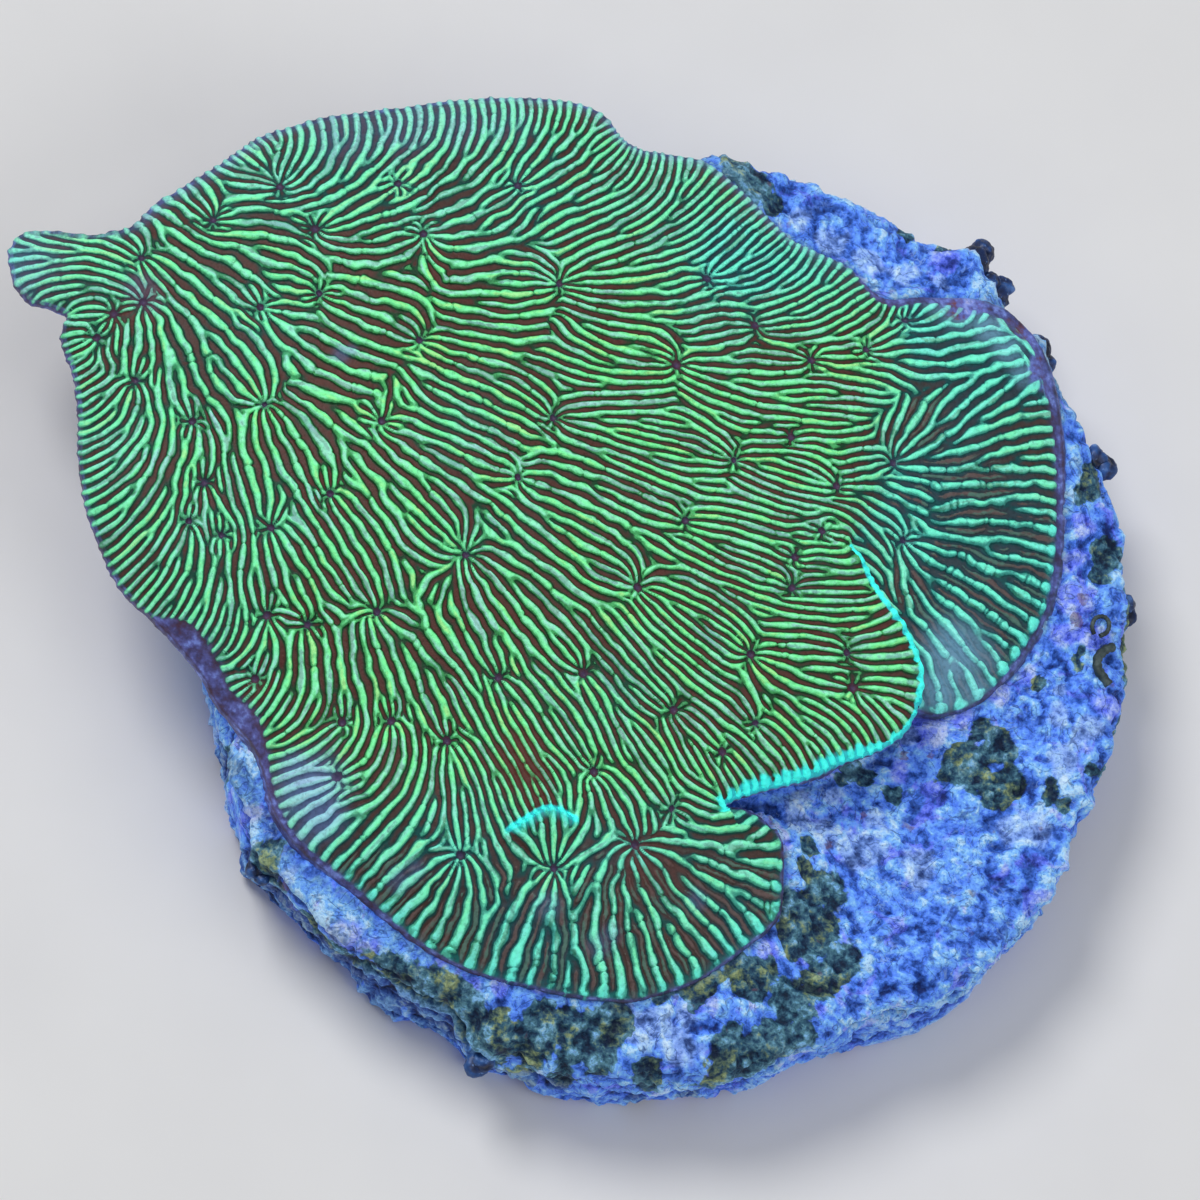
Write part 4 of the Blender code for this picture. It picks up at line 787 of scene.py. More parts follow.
# =============================================================================
# Making objects
# =============================================================================
def new_mesh(name, verts, tris, normals=None, attrs=None, plan_uv=False, uv=None):
    """A triangle mesh from arrays in mm."""
    me = bpy.data.meshes.new(name)
    me.vertices.add(len(verts))
    me.vertices.foreach_set("co", (np.asarray(verts, np.float32) * MM).ravel())
    me.loops.add(len(tris) * 3)
    me.loops.foreach_set("vertex_index", np.asarray(tris, np.int32).ravel())
    me.polygons.add(len(tris))
    me.polygons.foreach_set("loop_start", np.arange(0, len(tris) * 3, 3, dtype=np.int32))
    me.polygons.foreach_set("use_smooth", np.ones(len(tris), bool))
    me.update(calc_edges=True)
    me.validate()
    for key, val in (attrs or {}).items():
        at = me.attributes.new(key, "FLOAT", "POINT")
        at.data.foreach_set("value", np.asarray(val, np.float32))
    if plan_uv or uv is not None:
        if uv is None:
            lo, hi = verts[:, :2].min(0), verts[:, :2].max(0)
            uv = (verts[:, :2] - lo) / (hi - lo).max() * 0.98 + 0.01
        layer_ = me.uv_layers.new(name="OFBake")
        layer_.data.foreach_set("uv", np.asarray(uv, np.float32)[np.asarray(tris).ravel()].ravel())
    if normals is not None:
        me.normals_split_custom_set_from_vertices(np.asarray(normals, np.float32).tolist())
    ob = bpy.data.objects.new(name, me)
    bpy.context.scene.collection.objects.link(ob)
    return ob


def cut_piece(name, P, T, N, mat, keep, values=ATTRS):
    t = T[keep]
    used, inv = np.unique(t, return_inverse=True)
    ob = new_mesh(name, P[used], inv.reshape(-1, 3), N[used], {k: v.ravel()[used] for k, v in values.items()}, plan_uv=True)
    ob.data.materials.append(mat)
    return ob


def finish_piece(ob, node_slot):
    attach(ob, "root")
    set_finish(ob, node_slot)
    return ob


# =============================================================================
# Smooth 3-D noise on arrays
# =============================================================================
def _hash(ix, iy, iz, seed):
    h = (ix.astype(np.int64) * 374761393 + iy.astype(np.int64) * 668265263 + iz.astype(np.int64) * 2147483647 + seed * 1442695041) & 0xFFFFFFFF
    h = ((h ^ (h >> 13)) * 1274126177) & 0xFFFFFFFF
    h = ((h ^ (h >> 16)) * 2246822519) & 0xFFFFFFFF
    return (h ^ (h >> 15)) & 0xFFFFFFFF


def rand3(ix, iy, iz, seed):
    return _hash(ix, iy, iz, seed) / 4294967295.0


def vnoise(p, size, seed):
    """Value noise in -1..1 with features of the given size."""
    q = np.asarray(p) / size
    i = np.floor(q).astype(np.int64)
    f = q - i
    f = f * f * f * (f * (f * 6 - 15) + 10)
    out = 0
    for dx in (0, 1):
        wx = f[..., 0] if dx else 1 - f[..., 0]
        for dy in (0, 1):
            wy = f[..., 1] if dy else 1 - f[..., 1]
            for dz in (0, 1):
                wz = f[..., 2] if dz else 1 - f[..., 2]
                out = out + wx * wy * wz * rand3(i[..., 0] + dx, i[..., 1] + dy, i[..., 2] + dz, seed)
    return out * 2 - 1


def fbm(p, size, seed, octaves=4, gain=0.5):
    out, amp, tot = 0, 1.0, 0.0
    for k in range(octaves):
        out = out + amp * vnoise(np.asarray(p) + 17.3 * k, size / 2.03 ** k, seed + k)
        tot += amp
        amp *= gain
    return out / tot * 1.6


def cells(p, size, seed):
    """Distance to the nearest and second nearest of scattered points, and that point's own number."""
    q = np.asarray(p) / size
    i = np.floor(q).astype(np.int64)
    d1 = np.full(q.shape[:-1], 9.0)
    d2 = np.full(q.shape[:-1], 9.0)
    who = np.zeros(q.shape[:-1])
    for dx in (-1, 0, 1):
        for dy in (-1, 0, 1):
            for dz in (-1, 0, 1):
                a, b, c = i[..., 0] + dx, i[..., 1] + dy, i[..., 2] + dz
                x = a + rand3(a, b, c, seed)
                y = b + rand3(a, b, c, seed + 1)
                z = c + rand3(a, b, c, seed + 2)
                d = np.sqrt((q[..., 0] - x) ** 2 + (q[..., 1] - y) ** 2 + (q[..., 2] - z) ** 2)
                m = d < d1
                d2 = np.where(m, d1, np.minimum(d2, d))
                who = np.where(m, rand3(a, b, c, seed + 3), who)
                d1 = np.where(m, d, d1)
    return d1 * size, d2 * size, who


# =============================================================================
# Edge of the coral: the rounded margin, and the underside where it overhangs
# =============================================================================
Z_TOP = Z_BASE + COMMON - roll - lip_curl * ~FAN_NODE       # whole top, for reading heights
Z_EDGE = np.where(INSIDE, Z_TOP, np.nan)


def strip_mesh(rings, closed, rows=8):
    """Quads between rings (K x N x 3), cut into rows so that its map fills a square."""
    K, N = rings.shape[:2]
    order = np.arange(N + 1) % N if closed else np.arange(N)
    M = len(order)
    cuts = np.linspace(0, M - 1, rows + 1).astype(int)
    verts, tris, uvs, src, ring = [], [], [], [], []
    base = 0
    span = max(np.diff(cuts))
    for r in range(rows):
        cols = order[cuts[r]:cuts[r + 1] + 1]
        n = len(cols)
        v = rings[:, cols].reshape(-1, 3)
        uu = np.tile(0.01 + 0.98 * np.arange(n) / span, (K, 1))
        vv = np.tile(((r + 0.04 + 0.92 * np.arange(K) / (K - 1)) / rows)[:, None], (1, n))
        uvs.append(np.stack([uu.ravel(), vv.ravel()], 1))
        src.append(np.tile(cols, (K, 1)).ravel())
        ring.append(np.repeat(np.arange(K), n))
        a = (np.arange(K - 1)[:, None] * n + np.arange(n - 1)[None]).ravel() + base
        b, c, d = a + 1, a + n + 1, a + n
        tris += [np.stack([a, c, b], 1), np.stack([a, d, c], 1)]
        verts.append(v)
        base += len(v)
    return np.vstack(verts), np.vstack(tris), np.vstack(uvs), np.concatenate(src), np.concatenate(ring)


def smooth_normals(P, T, weld=None):
    n = np.cross(P[T[:, 1]] - P[T[:, 0]], P[T[:, 2]] - P[T[:, 0]])
    key = P.round(4)
    _, inv = np.unique(key, axis=0, return_inverse=True)
    inv = inv.ravel()
    N = np.zeros((inv.max() + 1, 3))
    for k in range(3):
        for ax in range(3):
            N[:, ax] += np.bincount(inv[T[:, k]], n[:, ax], len(N))
    N /= np.maximum(np.linalg.norm(N, axis=1), 1e-12)[:, None]
    return N[inv]


def spread(v, closed, k):
    """Box-smooth values along a curve."""
    v = np.asarray(v, float)
    if closed:
        w = np.concatenate([v[-k:], v, v[:k]])
    else:
        w = np.concatenate([np.repeat(v[:1], k), v, np.repeat(v[-1:], k)])
    return np.convolve(w, np.ones(2 * k + 1) / (2 * k + 1), "valid")


def outward(p, closed):
    t = (np.roll(p[:, :2], -1, 0) - np.roll(p[:, :2], 1, 0)) if closed else np.gradient(p[:, :2], axis=0)
    n = np.stack([t[:, 1], -t[:, 0]], 1)
    n /= np.linalg.norm(n, axis=1)[:, None]
    return n


def polygon_turn(p):
    x, y = p[:, 0], p[:, 1]
    return 0.5 * np.sum(x * np.roll(y, -1) - np.roll(x, -1) * y)


# margin, finer, with the number of ridges' phase read just inside it
EDGE = resample(FULL, 0.055, True)
out_n = outward(EDGE, True) * (1 if polygon_turn(EDGE) > 0 else -1)
for _ in range(1):
    out_n = np.stack([spread(out_n[:, 0], True, 4), spread(out_n[:, 1], True, 4)], 1)
    out_n /= np.linalg.norm(out_n, axis=1)[:, None]
FILLED = blur(np.where(INSIDE, Z_TOP, 0), 0.03) / np.maximum(blur(INSIDE * 1.0, 0.03), 1e-3)
FILLED = np.where(INSIDE, Z_TOP, FILLED)


def read_in(a, p, n, d):
    return lookup(a, p[:, 0] - n[:, 0] * d, p[:, 1] - n[:, 1] * d)


# the height of the margin: the top sheet's own height at its edge
z_edge = read_in(FILLED, EDGE, out_n, 0.04)
z_smooth = spread(z_edge, True, 5)
s_edge = read_in(RIDGE, EDGE, out_n, 0.10 + EDGE[:, 3] * 0.6)
rib_edge = step((read_in(S, EDGE, out_n, 0.12) + 0.3) / 0.9)
bare = EDGE[:, 3]
thick = spread(EDGE[:, 4], True, 12)
far_out = np.hypot(EDGE[:, 0], EDGE[:, 1])
is_lip_tail = np.zeros(len(EDGE), bool)
tail_xy = LIP_C[k0:, :2]
for k in range(len(EDGE)):
    is_lip_tail[k] = np.hypot(tail_xy[:, 0] - EDGE[k, 0], tail_xy[:, 1] - EDGE[k, 1]).min() < 0.12
free = step((far_out - 15.0) / 0.8) * ~is_lip_tail
free = spread(free, True, 8)
tail = spread(is_lip_tail * 1.0, True, 4)

knob = (rib_edge - 0.35) * np.clip(1 - bare / 0.4, 0.15, 1)
wob = 0.05 * fbm(np.stack([EDGE[:, 0], EDGE[:, 1], z_smooth], 1), 0.7, 41) + 0.03 * fbm(np.stack([EDGE[:, 0], EDGE[:, 1], z_smooth], 1), 0.22, 42, 2)
rings = []
inner_xy = EDGE[:, :2] - out_n * 0.11
rings.append(np.column_stack([inner_xy, read_in(FILLED, EDGE, out_n, 0.11) - 0.02]))
rings.append(np.column_stack([EDGE[:, :2] - out_n * 0.03, read_in(FILLED, EDGE, out_n, 0.06) + 0.002]))
flared = spread(step((EDGE[:, 0] - 8.5) / 1.5) * step((EDGE[:, 1] + 2.6) / 1.0) * (1 - tail), True, 8)     # the right fan's foot spreads over the crust
bottom = np.where(tail > 0.5, 0.42, thick)
bottom = spread(bottom, True, 4)
drop_to = np.maximum(z_smooth - bottom, 4.75)
attached_low = 4.70 + 0 * z_smooth
for t in np.linspace(0.08, 1, 8):
    ang = math.pi * t
    bulge = (0.02 + 0.08 * bottom) * math.sin(ang) ** 0.8
    lump = 0.060 * knob * math.sin(min(ang * 1.15, math.pi)) * (1 - 0.55 * t)
    zf = z_edge * (1 - t) ** 2 + (z_smooth) * (1 - (1 - t) ** 2) - bottom * (1 - math.cos(ang)) / 2
    # attached margins run straight down into the crust, flaring a little
    za = z_edge * (1 - t) + (z_smooth) * t - (z_smooth - attached_low) * t ** (0.9 + 1.2 * flared)
    oa = 0.02 + (0.07 + 0.22 * flared) * t ** (1.2 - 0.3 * flared)
    w = np.clip(free + tail, 0, 1)
    off = w * (bulge + lump + wob * math.sin(ang)) + (1 - w) * (oa + lump * 0.8 + wob * t)
    z = w * zf + (1 - w) * za
    rings.append(np.column_stack([EDGE[:, :2] + out_n * off[:, None], z]))
# underneath: towards the underside on free margins, down to the crust under the raised edge
under_z = z_smooth - bottom
for d, dz in ((0.12, 0.01), (0.35, -0.02), (0.8, -0.55), (1.3, -1.6)):
    w = np.clip(free, 0, 1)
    keep = min(d, 0.35)
    zz_f = under_z + 0.06 * keep
    zz_t = np.maximum(under_z + np.minimum(dz, 0.02), 4.7)
    z = w * zz_f + (1 - w) * np.where(tail > 0.5, zz_t, attached_low - 0.05 * d)
    off = -(w * keep + (1 - w) * np.where(tail > 0.5, d, -0.22 + 0.05 * d))
    rings.append(np.column_stack([EDGE[:, :2] + out_n * off[:, None], z]))
rings = np.stack(rings)
P_rim, T_rim, UV_rim, src, ring = strip_mesh(rings, True, 10)
if polygon_turn(EDGE) < 0:
    T_rim = T_rim[:, ::-1]


def on_rings(values, strip, p, n):
    """Values for a strip: read under its two inner rings, and carried outwards from just inside the edge."""
    rows_ = [lookup(values, strip[k][:, 0], strip[k][:, 1]) for k in (0, 1)]
    rows_ += [read_in(values, p, n, 0.015)] * (len(strip) - 2)
    return np.stack(rows_)


down = np.clip((ring - 1) / 8, 0, 1.4)          # 0 at the top of the margin, 1 below it
rim_read = {k: on_rings(ATTRS[k], rings, EDGE, out_n)[ring, src] for k in ("vary", "pale", "edge", "cyan", "red", "cool", "blush")}
rim_ridge = on_rings(RIDGE_SMOOTH, rings, EDGE, out_n)[ring, src]
# painted shade: on the lip's tail the side below the cyan band takes the margin colour and its foot the groove colour;
# on other margins the margin colour down the side is the rim's own
RIM_ATTR = {
    "ridge": np.clip(rim_ridge, -1.5, 1.5) - 1.1 * step((down - 0.20) / 0.45) - 1.6 * tail[src] * step((down - 0.9) / 0.2),
    "second": np.zeros(len(src)),
    "vary": rim_read["vary"],
    "edge": np.clip(np.maximum(rim_read["edge"] * (ring < 2) * (1 - tail[src]), 0.95 * step((down - 0.02 - 0.26 * tail[src]) / (0.25 - 0.10 * tail[src]))) + 0.1 * (down > 0) * (1 - tail[src]), 0, 1),
    "mouth": np.zeros(len(src)),
    "cyan": np.clip(np.maximum(tail[src] * (1.35 - down * 1.1), rim_read["cyan"] * (1 - down)), 0, 1),
    "pale": rim_read["pale"] * (1 - np.clip(down, 0, 1)),
    "red": np.zeros(len(src)),
    "cool": rim_read["cool"],
    "blush": rim_read["blush"] * (1 - 0.5 * np.clip(down, 0, 1)),
    "down": down,
}

# ---- underside of the overhanging plate -----------------------------------------
HU = 0.1
ux = np.arange(GX0 + 0.2, xs[-1] - 0.2, HU)
uy = np.arange(GY0 + 0.2, ys[-1] - 0.2, HU)
UX, UY = np.meshgrid(ux, uy)
u_in = fill_mask(EDGE[:, :2] - out_n * 0.16, ux, uy)
RR = np.hypot(UX, UY)
u_ok = u_in & (RR > 13.7)
jj, ii = np.nonzero(u_ok)
pts = np.stack([UX[jj, ii], UY[jj, ii]], 1)
coarse = EDGE[::6]
c_thick, c_z = bottom[::6], z_smooth[::6]
dist = np.empty(len(pts))
who = np.empty(len(pts), int)
for a in range(0, len(pts), 4000):
    d = ((pts[a:a + 4000, None] - coarse[None, :, :2]) ** 2).sum(-1)
    who[a:a + 4000] = d.argmin(1)
    dist[a:a + 4000] = np.sqrt(d.min(1))
z_here = lookup(blur(np.where(INSIDE, Z_TOP, 0), 0.25) / np.maximum(blur(INSIDE * 1.0, 0.25), 0.05), pts[:, 0], pts[:, 1])
z_here = np.where(dist < 1.2, z_here * (dist / 1.2) + c_z[who] * (1 - dist / 1.2), z_here)
w_edge = np.clip((np.hypot(pts[:, 0], pts[:, 1]) - 13.9), 0, None)
w_edge = w_edge / (w_edge + dist + 1e-3)
thick_here = c_thick[who] + 0.35 * (1 - np.exp(-dist / 1.5))
w_edge = np.sin(np.clip(w_edge, 0, 1) * math.pi / 2) ** 0.75
zu = (z_here - thick_here) * w_edge + 4.98 * (1 - w_edge)
th = np.angle(field_at(pts[:, 0], pts[:, 1])) / 2
p3 = np.column_stack([pts, np.zeros(len(pts))])
costae = lookup(blur(S, 0.05), pts[:, 0], pts[:, 1])
fade = np.exp(-dist / 1.6)
zu = zu - 0.07 * costae * fade * (dist > 0.1) - 0.10 * fbm(p3, 1.4, 51) * np.clip(dist, 0, 1) - 0.035 * fbm(p3, 0.35, 52, 3)
ring_here = np.sin(dist * 2 * math.pi / 0.9 + 1.2 * fbm(p3, 2.0, 53))
zu = zu - 0.03 * ring_here * np.clip(dist, 0, 1)
UZ = np.full(UX.shape, np.nan)
UZ[jj, ii] = zu
idx = -np.ones(UX.shape, int)
idx[jj, ii] = np.arange(len(jj))
P_under = np.column_stack([pts, zu])
cells_ok = (idx[:-1, :-1] >= 0) & (idx[1:, :-1] >= 0) & (idx[:-1, 1:] >= 0) & (idx[1:, 1:] >= 0)
a, b, c, d = idx[:-1, :-1][cells_ok], idx[:-1, 1:][cells_ok], idx[1:, 1:][cells_ok], idx[1:, :-1][cells_ok]
T_under = np.vstack([np.stack([a, c, b], 1), np.stack([a, d, c], 1)])      # facing down
UNDER_ATTR = {"down": 1 + 0 * dist, "far": np.clip(dist / 3, 0, 1), "costae": costae * fade}

# ---- raised edge of the main plate above the right fan ------------------------------
LP = resample(LIP_C[:k0 + 3, :2], 0.05)
lip_n = outward(LP, False)
mid = len(LP) // 2
probe = LP[mid] + lip_n[mid] * 0.4
if not fill_mask(FAN_POLY, np.array([probe[0]]), np.array([probe[1]]))[0, 0]:
    lip_n = -lip_n
lip_n = np.stack([spread(lip_n[:, 0], False, 6), spread(lip_n[:, 1], False, 6)], 1)
lip_n /= np.linalg.norm(lip_n, axis=1)[:, None]
Z_PL = np.where(~FAN_NODE & INSIDE, Z_PLATE + COMMON - roll - lip_curl, 0)
okp = blur((~FAN_NODE & INSIDE) * 1.0, 0.03)
Z_PLF = np.where(~FAN_NODE & INSIDE, Z_PL, blur(Z_PL, 0.03) / np.maximum(okp, 1e-3))
z_l = read_in(Z_PLF, LP, lip_n, 0.04)
z_ls = spread(z_l, False, 5)
z_f = lookup(Z_FAN, LP[:, 0], LP[:, 1])
grow = np.clip(np.arange(len(LP)) * 0.05 / 1.6, 0, 1)
rib_l = step((read_in(S, LP, lip_n, 0.12) + 0.3) / 0.9) - 0.35
tk = 0.12 + 0.32 * grow
lrings = [np.column_stack([LP - lip_n * 0.11, read_in(Z_PLF, LP, lip_n, 0.11) - 0.02]),
          np.column_stack([LP - lip_n * 0.03, read_in(Z_PLF, LP, lip_n, 0.06) + 0.002])]
for t in np.linspace(0.1, 1, 7):
    ang = math.pi * t
    off = (0.03 + 0.16 * tk) * math.sin(ang) ** 0.8 + 0.05 * rib_l * math.sin(ang) * (1 - 0.5 * t)
    z = z_l * (1 - t) ** 2 + z_ls * (1 - (1 - t) ** 2) - tk * (1 - math.cos(ang)) / 2
    lrings.append(np.column_stack([LP + lip_n * off[:, None], z]))
z_fin = lookup(Z_FAN, LP[:, 0] - lip_n[:, 0] * 1.2, LP[:, 1] - lip_n[:, 1] * 1.2)
for d, f in ((0.15, 0.0), (0.5, 0.12), (0.9, 0.5), (1.3, 1.0)):
    z = (z_ls - tk) * (1 - f) + (np.minimum(z_fin - 0.12, z_ls - tk)) * f
    lrings.append(np.column_stack([LP - lip_n * d * grow[:, None], z]))
lrings = np.stack(lrings)
P_lip, T_lip, UV_lip, lsrc, lring = strip_mesh(lrings, False, 4)
cr = np.cross(P_lip[T_lip[0, 1]] - P_lip[T_lip[0, 0]], P_lip[T_lip[0, 2]] - P_lip[T_lip[0, 0]])
if cr[2] < 0:
    T_lip = T_lip[:, ::-1]
ldown = np.clip((lring - 1) / 7, 0, 1.5)
lip_ridge = on_rings(RIDGE_SMOOTH, lrings, LP, lip_n)[lring, lsrc]
# painted shade: below its cyan top the lip's side and underside take the darker margin and groove colours
LIP_ATTR = {
    "ridge": lip_ridge - 0.7 * step((ldown - 0.3) / 0.6),
    "second": np.zeros(len(lsrc)), "vary": read_in(STREAK, LP, lip_n, 0.15)[lsrc],
    "edge": np.clip(0.9 * step((ldown - 0.45) / 0.4), 0, 1), "mouth": np.zeros(len(lsrc)),
    "cyan": np.clip(1.25 - ldown * 0.9, 0, 1), "pale": np.zeros(len(lsrc)), "red": np.zeros(len(lsrc)), "cool": 0.6 + np.zeros(len(lsrc)), "blush": np.zeros(len(lsrc)),
    "down": np.clip(ldown * 1.1, 0, 1.4),
}

# =============================================================================
# Frag disc: the crust over its top, rim and wall
# =============================================================================
RIM_WAVES = ((2, 0.10, 0.4), (3, 0.14, 1.9), (5, 0.12, 0.3), (9, 0.08, 2.2))
RIM_TRIM = ((0, -1.0), (10, -0.6), (20, -0.25), (30, -0.58), (38, -0.35), (46, 0.1), (50, 0.25), (60, 0.2), (70, 0.05), (90, 0), (176, 0), (183, -0.35), (194, -0.35), (202, -0.05), (210, 0.1), (220, -0.1), (226, -0.38),
            (232, -0.40), (240, -0.62), (246, -0.25), (252, 0.05), (260, 0.22), (270, -0.10), (280, -0.36), (287, -0.72), (295, -0.72), (303, -0.25), (320, -0.25), (330, -0.45), (340, -0.65), (350, -0.9), (360, -1.0))
RIM_LUMPS = ((51.0, 0.65, 3.2), (38.0, 0.40, 3.0), (1.0, 0.25, 3.0), (210.0, 0.40, 3.5), (246.0, 0.45, 3.2))


def rim_offset(ang):
    off = sum(a * np.sin(k * ang + p) for k, a, p in RIM_WAVES)
    for deg, height, width in RIM_LUMPS:
        d = (np.degrees(ang) - deg + 180.0) % 360.0 - 180.0
        off = off + height * np.exp(-(d / width) ** 2)
    a, o = np.array(RIM_TRIM, float).T
    return off + np.interp(np.degrees(ang) % 360.0, a, o)


ALGAE = ((2.2, 15.4, 4.8, 0.62), (2.8, 14.8, 5.0, 0.70), (3.4, 14.2, 5.0, 0.54), (1.9, 15.9, 4.4, 0.39), (12.3, -5.8, 5.0, 0.35), (12.9, -6.2, 5.0, 0.31), (12.0, -6.2, 5.0, 0.27), (13.6, -5.1, 4.8, 0.27), (14.8, 5.7, 4.5, 0.47), (14.1, 4.6, 5.0, 0.62), (13.7, 4.3, 5.0, 0.47), (14.7, 2.2, 4.9, 0.62), (14.4, 1.6, 5.0, 0.39), (15.4, 0.4, 4.4, 0.39), (9.6, -5.1, 5.0, 1.01), (10.4, -4.5, 5.0, 0.78), (10.6, -5.8, 5.0, 0.85), (9.8, -4.1, 5.0, 0.47), (12.1, -2.4, 5.0, 0.31), (12.9, 10.3, 4.5, 0.54), (5.6, -5.2, 5.0, 0.50), (6.1, -5.4, 5.0, 0.43), (5.2, -5.6, 5.0, 0.31), (7.1, -6.0, 5.0, 0.39), (4.2, -8.0, 5.0, 0.35), (4.0, -8.6, 5.0, 0.31), (3.8, -9.8, 5.0, 1.01), (4.5, -9.3, 5.0, 0.78), (4.3, -10.7, 5.0, 0.85), (3.4, -11.0, 5.0, 0.54), (5.1, -11.8, 5.0, 0.85), (0.4, -12.6, 5.0, 1.01), (1.9, -12.5, 5.0, 1.01), (3.4, -13.0, 5.0, 0.93), (-1.0, -12.7, 5.0, 0.78), (1.4, -11.7, 5.0, 0.47), (4.4, -12.5, 5.0, 0.85), (1.7, -15.0, 4.7, 1.05), (2.7, -14.7, 4.8, 0.98), (3.7, -14.3, 4.7, 0.62), (1.0, -15.3, 3.8, 0.74), (-9.5, -12.3, 4.7, 0.98), (-8.7, -12.6, 4.8, 0.74), (-7.6, -13.4, 3.0, 1.13), (-6.6, -14.1, 4.8, 1.09), (-5.3, -14.3, 4.9, 1.16), (-3.8, -14.3, 5.0, 1.16), (-2.7, -14.1, 5.0, 0.93), (-6.6, -14.7, 2.5, 0.90), (-5.2, -14.9, 2.1, 0.74), (-3.0, -15.1, 4.8, 0.74), (-1.3, -15.5, 4.5, 0.67), (-4.0, -15.2, 3.0, 0.67), (-14.8, -4.7, 2.7, 0.67), (-13.8, -8.5, 2.9, 0.74), (-13.3, -8.8, 1.6, 0.67), (-12.2, -10.1, 2.7, 0.63), (-11.5, -10.8, 2.1, 0.67), (-10.8, -11.4, 1.8, 0.63), (-12.7, -9.4, 2.1, 0.55), (-14.2, -7.5, 1.8, 0.55), (-6.6, -14.7, 0.2, 0.51), (-9.8, -12.2, 2.1, 0.59), (8.1, 13.6, 4.5, 0.39), (9.1, 13.0, 4.5, 0.31), (-0.9, -15.5, 0.4, 0.59), (0.6, -15.4, 1.6, 0.55), (-14.1, -8.0, 1.1, 0.74), (-13.7, -8.5, 3.9, 0.71), (-12.2, -10.0, 2.3, 0.71), (-12.9, -9.2, 2.4, 0.63), (-11.1, -11.1, 1.8, 0.82), (-10.5, -11.7, 2.5, 0.78), (-9.3, -12.6, 4.5, 0.98), (-8.1, -13.2, 2.7, 1.05), (-7.5, -13.5, 4.5, 0.62), (-14.8, -4.4, 1.6, 0.67), (-11.5, -10.8, 2.1, 0.67), (-9.6, -12.4, 0.6, 0.67), (-8.3, -13.7, 0.2, 0.67), (-14.3, -7.1, 0.8, 0.59),)
CHALK = ((4.4, 13.7, 5.0, 0.40), (5.4, 12.9, 5.0, 0.61), (6.7, 12.3, 5.0, 0.67), (7.8, 11.9, 5.0, 0.54), (9.0, 11.5, 5.0, 0.44), (2.0, -8.0, 5.0, 0.40), (4.0, -7.0, 5.0, 0.51), (4.8, -7.4, 5.0, 0.67), (5.8, -7.9, 5.0, 0.81), (3.9, -6.3, 5.0, 0.47), (6.5, -6.9, 5.0, 0.67), (7.7, -8.2, 5.0, 0.74), (5.2, -6.2, 5.0, 0.47), (-1.3, -14.1, 5.0, 0.88), (-0.3, -14.6, 5.0, 0.74), (-2.3, -13.6, 5.0, 0.47), (0.0, -13.7, 5.0, 0.54), (1.5, -14.2, 5.0, 0.34), (-7.9, -12.7, 4.9, 0.47), (-14.9, -3.6, 0.8, 0.40), (-15.0, -5.0, 0.2, 0.47), (-14.6, -5.7, 1.3, 0.40), (-12.8, -9.1, 4.6, 0.34), (-11.3, -10.8, 4.5, 0.34), (6.6, -3.3, 5.0, 0.47), (7.5, -4.0, 5.0, 0.47), (12.7, -4.8, 5.0, 0.61), (13.6, -3.9, 5.0, 0.61), (12.8, -2.7, 5.0, 0.34), (11.3, -7.2, 5.0, 0.88), (10.0, -11.9, 0.2, 1.01), (12.7, -3.4, 5.0, 0.47), (8.8, 13.8, 4.5, 0.47),)
VIOLET = ((13.3, 2.1, 5.0, 0.74), (13.4, 0.7, 5.0, 0.74), (13.6, 3.2, 5.0, 0.54), (13.0, -0.6, 5.0, 0.61), (13.9, -0.6, 5.0, 0.54), (14.1, -2.7, 4.9, 0.67), (8.3, -3.8, 5.0, 0.81), (9.3, -3.3, 5.0, 0.61), (10.6, -2.7, 5.0, 0.61), (11.6, -2.0, 5.0, 0.54), (7.3, -5.2, 5.0, 0.47), (-11.1, -10.8, 4.7, 0.54), (-8.2, -11.8, 5.0, 0.40), (-14.2, -7.1, 4.5, 0.47), (-10.4, -11.4, 4.7, 0.44), (-14.5, -5.8, 3.3, 0.34), (-7.3, -12.8, 5.0, 0.34), (10.3, 13.0, 4.5, 0.47), (9.2, 12.4, 4.9, 0.54), (11.1, 9.4, 5.0, 0.34), (2.4, -11.4, 5.0, 0.47), (1.4, -11.4, 5.0, 0.34), (-5.3, -12.8, 5.0, 0.34), (-6.3, -12.6, 5.0, 0.34),)
RUST = ((13.4, -0.1, 5.0, 0.34), (13.6, 0.7, 5.0, 0.24), (5.3, -4.4, 5.0, 0.20), (7.4, -4.7, 5.0, 0.17), (8.3, -4.7, 5.0, 0.17), (6.0, -6.8, 5.0, 0.20), (4.8, -7.8, 5.0, 0.20), (12.4, 10.1, 4.5, 0.20), (12.1, 9.3, 4.9, 0.27), (-13.0, -9.1, 4.2, 0.17), (-12.6, -9.6, 3.0, 0.20), (-14.7, -4.8, 3.9, 0.17),)

NA = 900
ang = np.arange(NA) * 2 * math.pi / NA
edge_ang = np.arctan2(EDGE[:, 1], EDGE[:, 0])
r_in = np.empty(NA)
for k in range(NA):
    d = np.abs((edge_ang - ang[k] + math.pi) % (2 * math.pi) - math.pi)
    m = d < math.radians(3.0)
    r_in[k] = far_out[m].min() if m.any() else 9.0
r_in = np.clip(r_in - 2.0, 4.5, 13.4)
r_in = spread(r_in, True, 9)
N_TOP, N_SIDE = 66, 46
R_TURN, Z_LOW = 14.75, 0.30
rings3 = []
kinds = []
for k in range(N_TOP):
    t = k / (N_TOP - 1)
    rr = r_in + (R_TURN - r_in) * t
    rings3.append(np.column_stack([rr, np.full(NA, DISC_TOP)]))
    kinds.append(0.0)
wall = [(R_TURN + 0.95 * math.sin(a), DISC_TOP - 0.75 * (1 - math.cos(a))) for a in np.linspace(0.16, math.pi / 2, 9)]
wall += [(DISC_R, z) for z in np.linspace(4.13, 0.55, N_SIDE - 16)]
